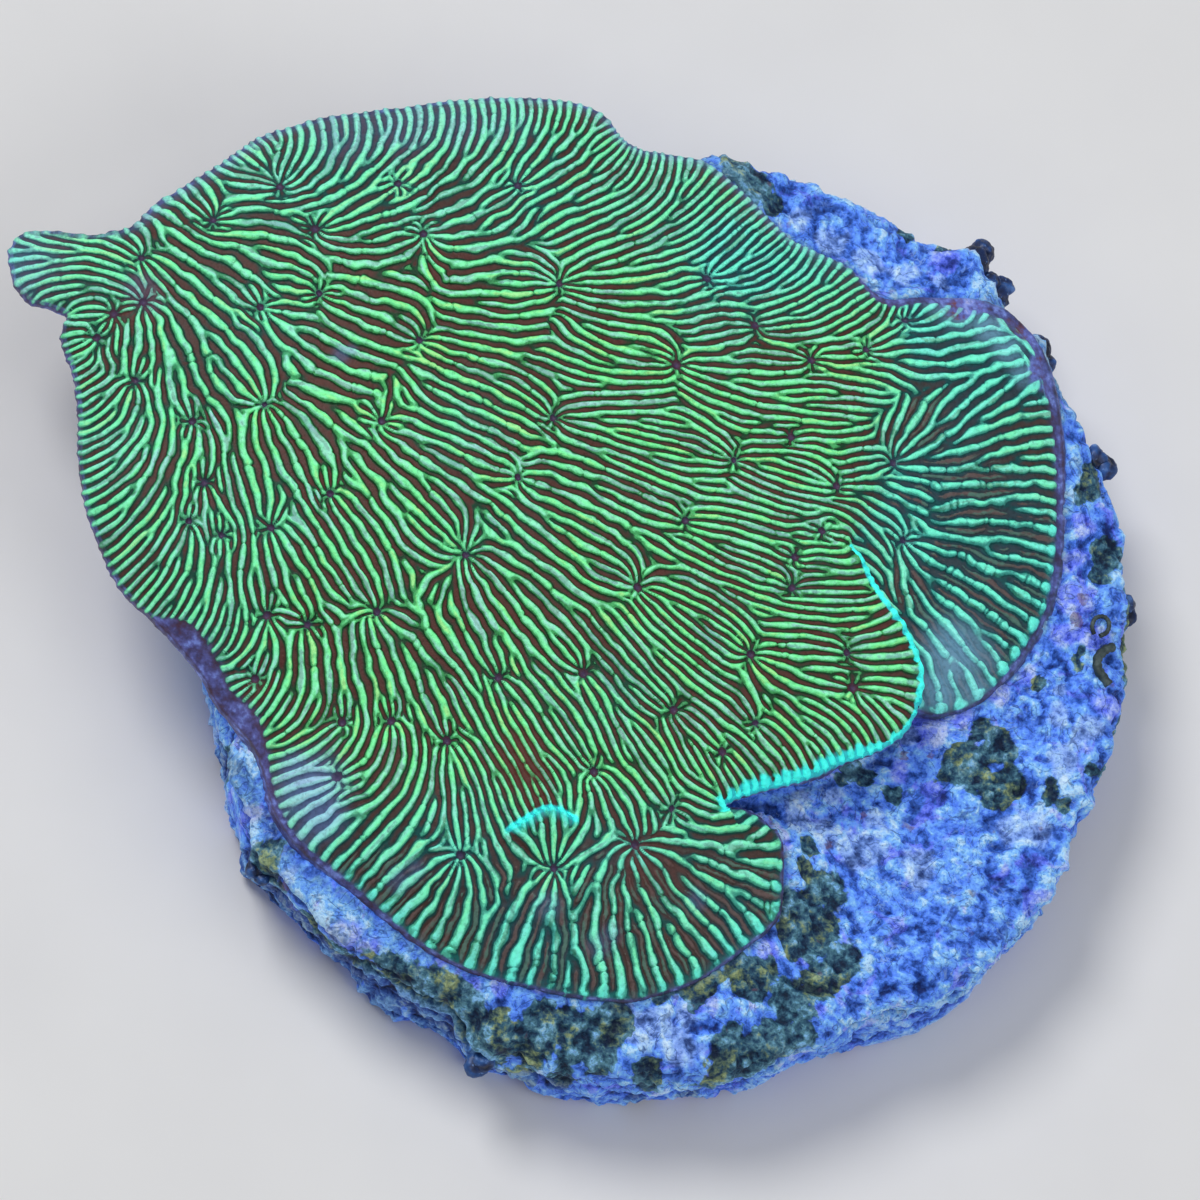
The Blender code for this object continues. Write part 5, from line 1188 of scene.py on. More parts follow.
wall += [(DISC_R - 0.05, 0.42), (DISC_R - 0.18, 0.26), (DISC_R - 0.40, 0.13), (DISC_R - 0.70, 0.05), (14.75, 0.02), (14.45, 0.0), (14.2, 0.0)]
for r_, z_ in wall:
    rings3.append(np.column_stack([np.full(NA, r_), np.full(NA, z_)]))
    kinds.append(1.0 if z_ < 4.9 else 0.5)
prof = np.stack(rings3)                         # K x NA x (r, z)
K = len(prof)
dr = np.gradient(prof[..., 0], axis=0)
dz = np.gradient(prof[..., 1], axis=0)
ln = np.maximum(np.hypot(dr, dz), 1e-9)
nr, nz = -dz / ln, dr / ln
A_ = np.broadcast_to(ang[None], (K, NA))
grow_r = step((prof[..., 0] - 11.5) / 4.0)
R_ = prof[..., 0] + grow_r * rim_offset(A_)
base_p = np.stack([R_ * np.cos(A_), R_ * np.sin(A_), prof[..., 1]], -1)


def patch(table, p, ragged):
    out = np.full(p.shape[:-1], -1.0)
    for x, y, z, r in table:
        tall = 1.0 if z > 4.6 else 0.36                # patches on the wall are drawn out up and down
        d = np.sqrt((p[..., 0] - x) ** 2 + (p[..., 1] - y) ** 2 + (tall * (p[..., 2] - z)) ** 2)
        out = np.maximum(out, 1 - d / r)
    return out + ragged


side = step((4.85 - prof[..., 1]) / 0.6)
n_big, n_mid, n_fine = fbm(base_p, 3.4, 61, 2), fbm(base_p, 0.95, 62, 3), fbm(base_p, 0.32, 63, 3)
shown = np.maximum(1 - side, step((np.cos(A_ - math.radians(-123)) + 0.15) / 0.3))
n_patch = fbm(base_p, 2.3, 64, 4)
algae_n = step((n_patch - 0.12 - 0.95 * shown) / 0.12)
warp = np.stack([fbm(base_p, 1.3, 91, 3), fbm(base_p, 1.3, 92, 3), fbm(base_p, 1.3, 93, 3)], -1)
p_warp = base_p + 0.24 * warp
algae = np.maximum(step((patch(ALGAE, p_warp, 0.34 * fbm(base_p, 0.7, 65, 4, 0.6) + 0.06)) / 0.30), algae_n)
chalk = step(patch(CHALK, p_warp, 0.45 * fbm(base_p, 0.6, 66, 4)) / 0.3)
violet = step(patch(VIOLET, p_warp, 0.45 * fbm(base_p, 0.9, 67, 3)) / 0.4)
rust = step(patch(RUST, base_p, 0.5 * fbm(base_p, 0.4, 68, 3)) / 0.2)
rust = np.maximum(rust, 0.7 * step((fbm(base_p, 0.55, 69, 4) - 0.60) / 0.35))

d1, d2, who1 = cells(base_p + 0.22 * np.stack([fbm(base_p, 0.6, 71), fbm(base_p, 0.6, 72), fbm(base_p, 0.6, 73)], -1), 1.25, 74)
plates = step((d2 - d1) / 0.16) * (0.35 + 0.65 * who1)
e1, e2, who2 = cells(base_p, 0.42, 75)
tuft = np.clip(1 - e1 / 0.26, 0, 1) ** 0.7
f1, f2, who3 = cells(base_p + 0.08 * np.stack([n_fine, -n_fine, n_fine], -1), 0.62, 76)
knobs = np.clip(1 - f1 / 0.42, 0, 1) ** 0.8

# ledges and cracks that run round the wall
zw = prof[..., 1] + 0.80 * fbm(base_p * np.array([1, 1, 0.15]), 4.2, 77, 3) + 0.12 * n_mid
crack = 0.75 * np.exp(-((zw - 3.35) / 0.20) ** 2) * step(0.10 + 1.1 * fbm(base_p, 4.0, 78, 2))
crack = crack + 0.42 * np.exp(-((zw - 1.75) / 0.14) ** 2) * step(-0.15 + 1.2 * fbm(base_p, 3.2, 87, 2))
crack = crack * side
ledge = 0.18 * np.exp(-((zw - 2.7) / 0.40) ** 2) * side * step(0.3 + fbm(base_p, 3.0, 88, 2))

# how close the coral's margin is, to seat it in the crust
flat = base_p[:N_TOP + 6].reshape(-1, 3)
near_d = np.full(len(flat), 9.0)
near_z = np.full(len(flat), 5.5)
near_tail = np.zeros(len(flat))
ce = EDGE[::3]
cz, ct = z_smooth[::3], np.clip(np.maximum(1.8 * spread(tail, True, 26), free), 0, 1)[::3]
for a in range(0, len(flat), 6000):
    d = (flat[a:a + 6000, None, 0] - ce[None, :, 0]) ** 2 + (flat[a:a + 6000, None, 1] - ce[None, :, 1]) ** 2
    w = d.argmin(1)
    near_d[a:a + 6000] = np.sqrt(d[np.arange(len(w)), w])
    near_z[a:a + 6000] = cz[w]
    near_tail[a:a + 6000] = ct[w]
inside_coral = lookup(blur(INSIDE * 1.0, 0.05), flat[:, 0], flat[:, 1]) > 0.5
grid_shape = (N_TOP + 6, NA)
near_d, near_z, near_tail, inside_coral = (v.reshape(grid_shape) for v in (near_d, near_z, near_tail, inside_coral))
seat = np.zeros((K, NA))
seat[:N_TOP + 6] = np.where(inside_coral, 1, np.exp(-(near_d / 0.95) ** 2)) * (1 - near_tail) * np.clip(near_z - 0.20 - DISC_TOP - 0.22 * np.exp(-((np.degrees(A_[:N_TOP + 6]) - 64) / 20) ** 2), 0, 1.15)
seat = seat * (1 - 0.65 * np.exp(-(((base_p[..., 0] - 4.0) ** 2 + (base_p[..., 1] + 7.2) ** 2) / 1.7 ** 2)))
calm = np.ones((K, NA))
calm[:N_TOP + 6] = np.where(inside_coral, np.clip(1 - near_d / 0.5, 0, 1) * 0.3, 1 - 0.35 * np.exp(-(near_d / 0.30) ** 2))

amp_low = step((prof[..., 1] - 0.05) / 0.5)
lumps = np.abs(fbm(base_p + 0.18 * warp, 0.75, 84, 2))
beads = np.abs(fbm(base_p + 0.10 * warp, 0.36, 85, 2))
strata = fbm(base_p * np.array([0.75, 0.75, 1.2]) + 0.35 * warp, 1.0, 86, 3)
disp = 0.23 * n_big + 0.13 * n_mid + 0.05 * n_fine
disp = disp + (1 - algae) * (0.12 * plates + 0.20 * (lumps - 0.25) + 0.07 * (beads - 0.25) + 0.05 * chalk * knobs)
disp = disp + algae * (0.12 * knobs + 0.12 * tuft * (0.5 + who2) + 0.12 * (beads - 0.25) - 0.03)
disp = disp + 0.14 * violet * (0.5 + 0.5 * n_mid) + 0.11 * strata * side
disp = disp - crack + ledge
lump_zone = np.exp(-((np.degrees(A_) - 208) / 6) ** 2) + np.exp(-((np.degrees(A_) - 246) / 5) ** 2)
disp = disp + 0.15 * lump_zone * fbm(base_p, 0.8, 79, 3) * side
disp = np.clip(disp * calm, -0.75, 0.62 - 0.27 * side) * amp_low + seat
disp = np.where(prof[..., 1] < 0.06, 0, disp)
CR = R_ + nr * disp
CZ = prof[..., 1] + nz * disp
CR = np.where(prof[..., 1] < 4.9, np.minimum(CR, 17.0), CR)
crust_v = np.stack([CR * np.cos(A_), CR * np.sin(A_), np.maximum(CZ, 0.0)], -1)
cav = fbm(base_p, 0.5, 80, 3)
mean = disp.copy()
for ax, reach_ in ((1, 5), (0, 5)):
    mean = sum(np.roll(mean, s_, ax) for s_ in range(-reach_, reach_ + 1)) / (2 * reach_ + 1)
rel = disp - mean
# painted light and shade: how far a point stands above its neighbours, which lightens the tops and darkens the dips in
# colour
relief_light = np.clip(0.5 + rel / 0.17 + 0.10 * strata * side, 0, 1)
# painted shadow cast by the coral's margin on the crust next to it
contact_shadow = np.zeros((K, NA))
contact_shadow[:N_TOP + 6] = np.exp(-(near_d / 0.22) ** 2) * ~inside_coral
# painted shade: darker in the dips and cracks and next to the coral's margin
hollow = np.clip(-rel / 0.12 - 0.35, 0, 1) * 0.6 + np.clip(crack * 1.8, 0, 1) + 0.75 * contact_shadow

u_rad = np.cumsum(np.r_[[r_in.mean()], np.hypot(np.diff(prof[..., 0].mean(1)), np.diff(prof[..., 1].mean(1)))])
u_rad = u_rad / u_rad[-1] * 0.49
ia = np.arange(NA)
ja = (ia + 1) % NA
tri_list = []
for k in range(K - 1):
    a, b, c, d = k * NA + ia, (k + 1) * NA + ia, (k + 1) * NA + ja, k * NA + ja
    tri_list += [np.stack([a, b, c], 1), np.stack([a, c, d], 1)]
T_crust = np.vstack(tri_list)
P_crust = crust_v.reshape(-1, 3)
UV_crust = np.stack([0.5 + u_rad[:, None] * np.cos(A_), 0.5 + u_rad[:, None] * np.sin(A_)], -1).reshape(-1, 2)
CRUST_ATTR = {
    "algae": algae.ravel(), "chalk": chalk.ravel(), "violet": violet.ravel(), "rust": rust.ravel(),
    "hollow": np.clip(hollow, 0, 1).ravel(), "tone": who1.ravel(), "tuft": (tuft * algae).ravel(),
    "lower": (step((3.2 - zw) / 0.5) * side).ravel(), "relief_light": relief_light.ravel(),
}

# underside of the disc: flat seat ring, slightly dished and pitted inside it
ur = np.r_[14.2, 13.9, np.linspace(13.4, 0.4, 40)]
UA, URR = np.meshgrid(ang[::3], ur)
foot_r = CR[-1, ::3]                            # the crust's inner foot, which the outer ring tucks in above
URR[0] = foot_r + 0.10
URR[1] = np.minimum(13.9, foot_r - 0.12)
up = np.stack([URR * np.cos(UA), URR * np.sin(UA), np.zeros_like(URR)], -1)
inw = step((13.9 - URR) / 1.2)
uz = inw * (0.10 + 0.07 * fbm(up, 2.2, 81, 3) + 0.05 * np.clip(fbm(up, 0.6, 82, 3), 0, 1))
uz = uz + inw * 0.10 * np.exp(-((URR - 5.2) / 0.35) ** 2)                # a faint moulded ring round the middle
uz[0] = 0.02
up[..., 2] = uz
NB, KB = len(ang[::3]), len(ur)
ib = np.arange(NB)
jb = (ib + 1) % NB
tl = []
for k in range(KB - 1):
    a, b, c, d = k * NB + ib, (k + 1) * NB + ib, (k + 1) * NB + jb, k * NB + jb
    tl += [np.stack([a, b, c], 1), np.stack([a, c, d], 1)]
cap = len(up.reshape(-1, 3))
tl.append(np.stack([(KB - 1) * NB + ib, np.full(NB, cap), (KB - 1) * NB + jb], 1))
P_seat = np.vstack([up.reshape(-1, 3), [[0, 0, 0.12]]])
T_seat = np.vstack(tl)
cr = np.cross(P_seat[T_seat[0, 1]] - P_seat[T_seat[0, 0]], P_seat[T_seat[0, 2]] - P_seat[T_seat[0, 0]])
if cr[2] > 0:
    T_seat = T_seat[:, ::-1]

# ---- growths on the rim: bulbous clumps, and worm tubes on the crust -----------------
CLUMPS = ((10.45, 12.72, 4.00, 0.62), (10.88, 13.15, 3.80, 0.42), (9.99, 12.44, 4.20, 0.45), (11.29, 11.54, 3.90, 0.42), (11.56, 12.00, 3.70, 0.34), (11.03, 12.01, 4.10, 0.36), (12.53, 9.60, 4.30, 0.50), (12.80, 9.24, 4.10, 0.36), (14.73, 5.61, 4.00, 0.46), (14.42, 5.86, 4.20, 0.40), (15.29, 0.51, 3.90, 0.42), (15.35, 0.90, 4.00, 0.34), (-14.19, -8.61, 3.90, 0.30), (-13.90, -8.89, 3.70, 0.26), (-6.85, -15.01, 3.30, 0.38), (-6.63, -14.87, 3.60, 0.34),)
TUBES = ((False, 0.075, ((13.94, -0.48, 5.25), (13.86, -0.23, 5.34), (14.0, 0.05, 5.36), (14.28, 0.09, 5.36), (14.44, -0.12, 5.36), (14.36, -0.43, 5.38), (14.1, -0.59, 5.45))), (False, 0.155, ((14.58, -0.91, 5.22), (14.28, -1.04, 5.34), (14.01, -1.34, 5.4), (14.0, -1.72, 5.4), (14.2, -2.02, 5.38), (14.37, -2.25, 5.36))))


def blob_verts(cx, cy, cz, r, seed, sub=4, squash=0.8):
    bm = bmesh.new()
    bmesh.ops.create_icosphere(bm, subdivisions=sub, radius=1.0)
    v = np.array([p.co[:] for p in bm.verts])
    t = np.array([[q.index for q in f.verts] for f in bm.faces])
    bm.free()
    off = 0.22 * fbm(v * 1.0 + seed * 7.1, 0.9, 90 + seed, 3) + 0.10 * np.clip(1 - cells(v + seed, 0.55, 120 + seed)[0] / 0.4, 0, 1)
    w = v * (1 + off)[:, None] * r
    w[:, 2] *= squash
    return w + [cx, cy, cz], t, off


cl_v, cl_t, cl_a = [], [], []
base = 0
for s_, (x, y, z, r) in enumerate(CLUMPS):
    v, t, off = blob_verts(x, y, z, r, s_)
    cl_v.append(v)
    cl_t.append(t + base)
    cl_a.append(off)
    base += len(v)
P_clump, T_clump, A_clump = np.vstack(cl_v), np.vstack(cl_t), np.concatenate(cl_a)


def tube_mesh(path, r, closed=False, sides=18, seed=0):
    p = resample(catmull(np.array(path, float), 8, closed), r * 0.45, closed)
    n = len(p)
    t = (np.roll(p, -1, 0) - np.roll(p, 1, 0)) if closed else np.gradient(p, axis=0)
    t /= np.linalg.norm(t, axis=1)[:, None]
    up_ = np.tile([0.0, 0.0, 1.0], (n, 1))
    b = np.cross(t, up_)
    b /= np.maximum(np.linalg.norm(b, axis=1), 1e-6)[:, None]
    c = np.cross(b, t)
    a = np.arange(sides) * 2 * math.pi / sides
    rings_ = []
    rad = r * (1 + 0.10 * np.sin(np.arange(n) * 1.9) + 0.08 * vnoise(p, 0.3, 140 + seed))
    for k in range(n):
        rings_.append(p[k] + rad[k] * (np.cos(a)[:, None] * b[k] + np.sin(a)[:, None] * c[k]))
    if not closed:                                   # hollow mouth at the end
        for f, back in ((0.62, 0.0), (0.5, 0.6), (0.4, 1.6)):
            rings_.append(p[-1] - t[-1] * r * back + rad[-1] * f * (np.cos(a)[:, None] * b[-1] + np.sin(a)[:, None] * c[-1]))
        rings_.append(np.tile(p[-1] - t[-1] * r * 1.8, (sides, 1)) + 1e-4 * (np.cos(a)[:, None] * b[-1]))
    v = np.vstack(rings_)
    m = len(rings_)
    kk = np.arange(sides)
    kn = (kk + 1) % sides
    tt = []
    for k in range(m if closed else m - 1):
        k2 = (k + 1) % m
        tt += [np.stack([k * sides + kk, k * sides + kn, k2 * sides + kn], 1), np.stack([k * sides + kk, k2 * sides + kn, k2 * sides + kk], 1)]
    return v, np.vstack(tt)


# =============================================================================
# Materials
# =============================================================================
def lin(r, g, b):
    f = lambda u: ((u / 255 + 0.055) / 1.055) ** 2.4 if u > 10.3 else u / 255 / 12.92
    return (f(r), f(g), f(b), 1.0)


class Look:
    """Small helper that lays out shader nodes."""

    def __init__(self, name):
        self.mat = bpy.data.materials.new(name)
        self.mat.use_nodes = True
        self.t = self.mat.node_tree
        self.bsdf = self.t.nodes["Principled BSDF"]
        self.pos = self.t.nodes.new("ShaderNodeTexCoord").outputs["Object"]

    def node(self, kind, **props):
        n = self.t.nodes.new(kind)
        for k, v in props.items():
            setattr(n, k, v)
        return n

    def put(self, sock, v):
        if hasattr(v, "is_output"):
            self.t.links.new(v, sock)
        else:
            sock.default_value = v

    def attr(self, name):
        n = self.node("ShaderNodeAttribute", attribute_name=name, attribute_type="GEOMETRY")
        return n.outputs["Fac"]

    def math(self, op, a, b=0.0, clamp=False):
        n = self.node("ShaderNodeMath", operation=op, use_clamp=clamp)
        self.put(n.inputs[0], a)
        self.put(n.inputs[1], b)
        return n.outputs[0]

    def span(self, v, a, b, c=0.0, d=1.0):
        n = self.node("ShaderNodeMapRange", interpolation_type="SMOOTHSTEP")
        self.put(n.inputs["Value"], v)
        for k, x in zip(("From Min", "From Max", "To Min", "To Max"), (a, b, c, d)):
            n.inputs[k].default_value = x
        return n.outputs["Result"]

    def mix(self, fac, a, b, mode="MIX"):
        n = self.node("ShaderNodeMix", data_type="RGBA", blend_type=mode)
        self.put(n.inputs["Factor"], fac)
        self.put(n.inputs["A"], a)
        self.put(n.inputs["B"], b)
        return n.outputs["Result"]

    def ramp(self, v, stops):
        n = self.node("ShaderNodeValToRGB")
        e = n.color_ramp.elements
        while len(e) < len(stops):
            e.new(0.5)
        for el, (p, col) in zip(e, stops):
            el.position = p
            el.color = col
        self.put(n.inputs["Fac"], v)
        return n.outputs["Color"]

    def noise(self, mm, detail=3.0, rough=0.55, distort=0.0):
        n = self.node("ShaderNodeTexNoise")
        self.t.links.new(self.pos, n.inputs["Vector"])
        n.inputs["Scale"].default_value = 1000.0 / mm
        n.inputs["Detail"].default_value = detail
        n.inputs["Roughness"].default_value = rough
        n.inputs["Distortion"].default_value = distort
        return n.outputs["Fac"]

    def voronoi(self, mm, feature="F1"):
        n = self.node("ShaderNodeTexVoronoi", feature=feature)
        self.t.links.new(self.pos, n.inputs["Vector"])
        n.inputs["Scale"].default_value = 1000.0 / mm
        return n.outputs["Distance"]

    def bump(self, h, mm, strength=1.0, normal=None):
        n = self.node("ShaderNodeBump")
        n.inputs["Strength"].default_value = strength
        n.inputs["Distance"].default_value = mm * MM
        self.put(n.inputs["Height"], h)
        if normal is not None:
            self.t.links.new(normal, n.inputs["Normal"])
        return n.outputs["Normal"]

    def set(self, key, v):
        self.put(self.bsdf.inputs[key], v)


def coral_look(name):
    m = Look(name)
    ridge, vary, second = m.attr("ridge"), m.attr("vary"), m.attr("second")
    cyan, pale_, red_, cool_ = m.attr("cyan"), m.attr("pale"), m.attr("red"), m.attr("cool")
    edge, mouth = m.attr("edge"), m.attr("mouth")
    soft = m.noise(1.6, 2.0)
    fine = m.noise(0.15, 3.0, 0.62)
    grain_ = m.noise(0.05, 2.0, 0.6)
    # where a point is between the middle of a groove and the crest, roughened a little
    r = m.math("ADD", ridge, m.math("MULTIPLY", m.math("SUBTRACT", fine, 0.5), 0.34))
    groove = m.ramp(soft, [(0.32, lin(82, 48, 42)), (0.48, lin(66, 52, 43)), (0.66, lin(50, 56, 46))])
    groove = m.mix(m.math("MULTIPLY", cool_, 0.85), groove, m.mix(m.span(soft, 0.40, 0.60), lin(52, 62, 62), lin(34, 66, 74)))
    core_ = m.math("MULTIPLY", m.span(r, -0.72, -1.00), m.math("SUBTRACT", 0.75, m.math("MULTIPLY", cool_, 0.45)))
    groove = m.mix(core_, groove, lin(88, 47, 42))
    fan_ = m.span(cool_, 0.80, 0.96)
    groove = m.mix(m.math("MULTIPLY", fan_, 0.60), groove, lin(22, 66, 80))
    # painted shade: the ridges' sides take a dark green, as if in shadow between crest and groove
    shaded_flank = m.mix(cool_, m.mix(m.span(soft, 0.35, 0.65), lin(14, 58, 32), lin(24, 66, 40)), lin(18, 76, 80))
    mid_c = m.mix(cool_, lin(80, 178, 108), lin(76, 174, 156))
    mid_c = m.mix(m.math("MULTIPLY", fan_, 0.5), mid_c, lin(66, 168, 166))
    tone = m.math("ADD", m.math("MULTIPLY", vary, 0.19), m.math("ADD", 0.5, m.math("MULTIPLY", m.math("SUBTRACT", soft, 0.5), 0.8)))
    top = m.ramp(tone, [(0.08, lin(176, 214, 236)), (0.30, lin(158, 236, 214)), (0.50, lin(142, 255, 192)), (0.70, lin(124, 255, 166)), (0.92, lin(168, 252, 158))])
    top = m.mix(m.math("MULTIPLY", cool_, 0.60), top, lin(120, 255, 224))
    top = m.mix(m.math("MULTIPLY", fan_, 0.34), top, lin(98, 253, 244))
    dull = m.span(m.math("ADD", vary, m.math("MULTIPLY", m.math("SUBTRACT", fine, 0.5), 0.6)), -0.50, -1.45)
    top = m.mix(m.math("MULTIPLY", dull, 0.60), top, m.mix(m.span(soft, 0.4, 0.6), lin(100, 176, 116), lin(104, 178, 158)))
    mid_c = m.mix(m.math("MULTIPLY", dull, 0.50), mid_c, lin(50, 120, 74))
    top = m.mix(m.span(cyan, 0.20, 0.95), top, lin(104, 255, 240))
    col = m.mix(m.span(r, -0.74, -0.44), groove, shaded_flank)
    col = m.mix(m.span(r, -0.28, 0.02), col, mid_c)
    col = m.mix(m.span(r, 0.06, 0.52), col, top)
    second_c = m.mix(m.span(vary, -0.6, 0.8), lin(104, 84, 82), lin(88, 124, 112))
    col = m.mix(m.math("MULTIPLY", m.span(second, 0.25, 0.85), 0.75), col, second_c)
    # faded and reddened places
    pale_c = m.mix(m.span(r, -0.40, 0.10), m.mix(fan_, lin(84, 104, 146), lin(106, 150, 178)), m.mix(0.78, top, m.mix(fan_, lin(170, 206, 250), lin(156, 242, 250))))
    col = m.mix(m.math("MULTIPLY", pale_, 0.90), col, pale_c)
    col = m.mix(m.math("MULTIPLY", m.math("MULTIPLY", red_, m.span(r, 0.10, -0.25)), 0.90), col, lin(86, 32, 36))
    col = m.mix(m.math("MULTIPLY", red_, 0.22), col, lin(104, 84, 60))
    # lip, rib-free margin and the mouths
    col = m.mix(m.math("MULTIPLY", m.span(cyan, 0.55, 0.95), 0.85), col, m.mix(m.span(r, -0.8, -0.2), lin(30, 190, 200), lin(62, 252, 242)))
    strip = m.math("ADD", m.math("MULTIPLY", m.noise(0.8, 3.0), 0.55), m.math("MULTIPLY", m.noise(0.24, 2.0), 0.45))
    margin_c = m.ramp(strip, [(0.34, lin(78, 48, 68)), (0.45, lin(76, 66, 108)), (0.54, lin(88, 86, 148)), (0.66, lin(122, 140, 220))])
    margin_c = m.mix(m.math("MULTIPLY", cool_, 0.65), margin_c, m.ramp(strip, [(0.34, lin(40, 48, 80)), (0.46, lin(58, 70, 120)), (0.56, lin(84, 102, 172)), (0.68, lin(130, 160, 230))]))
    blush_ = m.attr("blush")
    blush_c = m.ramp(strip, [(0.38, lin(112, 70, 84)), (0.45, lin(98, 90, 150)), (0.53, lin(104, 118, 200)), (0.62, lin(132, 150, 226)), (0.72, lin(186, 190, 232))])
    margin_c = m.mix(m.span(blush_, 0.1, 0.6), margin_c, blush_c)
    col = m.mix(m.math("MULTIPLY", m.span(blush_, 0.05, 0.95), m.math("SUBTRACT", 1.0, m.math("MULTIPLY", m.span(r, 0.10, 0.45), 0.45))), col, blush_c)
    rib_here = m.span(r, -0.08, 0.22)
    col = m.mix(m.math("MULTIPLY", edge, m.math("SUBTRACT", 1.0, m.math("MULTIPLY", rib_here, 0.7))), col, margin_c)
    col = m.mix(m.math("MULTIPLY", mouth, 0.8), col, lin(70, 58, 100))
    # unevenness, and whitish specks on the ridges that are painted glints
    shade = m.ramp(fine, [(0.34, (0.66, 0.66, 0.66, 1)), (0.50, (0.95, 0.95, 0.95, 1)), (0.66, (1.0, 1.0, 1.0, 1))])
    col = m.mix(0.85, col, shade, "MULTIPLY")
    # painted glints: small near-white dots scattered over the ridges
    glint_speck = m.span(m.voronoi(0.22), 0.10, 0.03)
    col = m.mix(m.math("MULTIPLY", glint_speck, m.math("MULTIPLY", rib_here, 0.35)), col, lin(206, 255, 226))
    # painted glow: the coral emits its own colour, most strongly on the cyan edges, standing in for its fluorescence
    painted_glow = m.ramp(m.span(cyan, 0.60, 1.0), [(0.0, (0.40, 0.40, 0.40, 1)), (1.0, (1.0, 1.0, 1.0, 1))])
    m.set("Base Color", col)
    m.set("Emission Color", m.mix(1.0, col, painted_glow, "MULTIPLY"))
    m.set("Emission Strength", 0.48)
    m.set("Roughness", m.math("ADD", 0.36, m.math("MULTIPLY", fine, 0.25)))
    m.set("Specular IOR Level", 0.28)
    h = m.math("ADD", m.math("MULTIPLY", grain_, 0.5), fine)
    m.set("Normal", m.bump(h, 0.040, 0.6))
    return m.mat


def underside_look():
    m = Look("coral_underside")
    far_, costa = m.attr("far"), m.attr("costae")
    n1, n2 = m.noise(1.3, 4.0, 0.6), m.noise(0.14, 3.0, 0.6)
    bare_c = m.ramp(n1, [(0.30, lin(150, 138, 150)), (0.5, lin(196, 186, 186)), (0.7, lin(216, 210, 206))])
    live = m.ramp(n1, [(0.3, lin(58, 44, 78)), (0.6, lin(86, 68, 112)), (0.8, lin(108, 104, 158))])
    k = m.math("ADD", far_, m.math("MULTIPLY", m.math("SUBTRACT", n1, 0.5), 0.9))
    col = m.mix(m.span(k, 0.15, 0.6), live, bare_c)
    col = m.mix(m.math("MULTIPLY", m.span(costa, 0.1, 0.7), 0.35), col, lin(124, 150, 190))
    col = m.mix(0.6, col, m.ramp(n2, [(0.3, (0.7, 0.7, 0.7, 1)), (0.6, (1, 1, 1, 1))]), "MULTIPLY")
    m.set("Base Color", col)
    m.set("Roughness", m.math("ADD", 0.55, m.math("MULTIPLY", n2, 0.3)))
    m.set("Normal", m.bump(n2, 0.05, 0.6))
    return m.mat


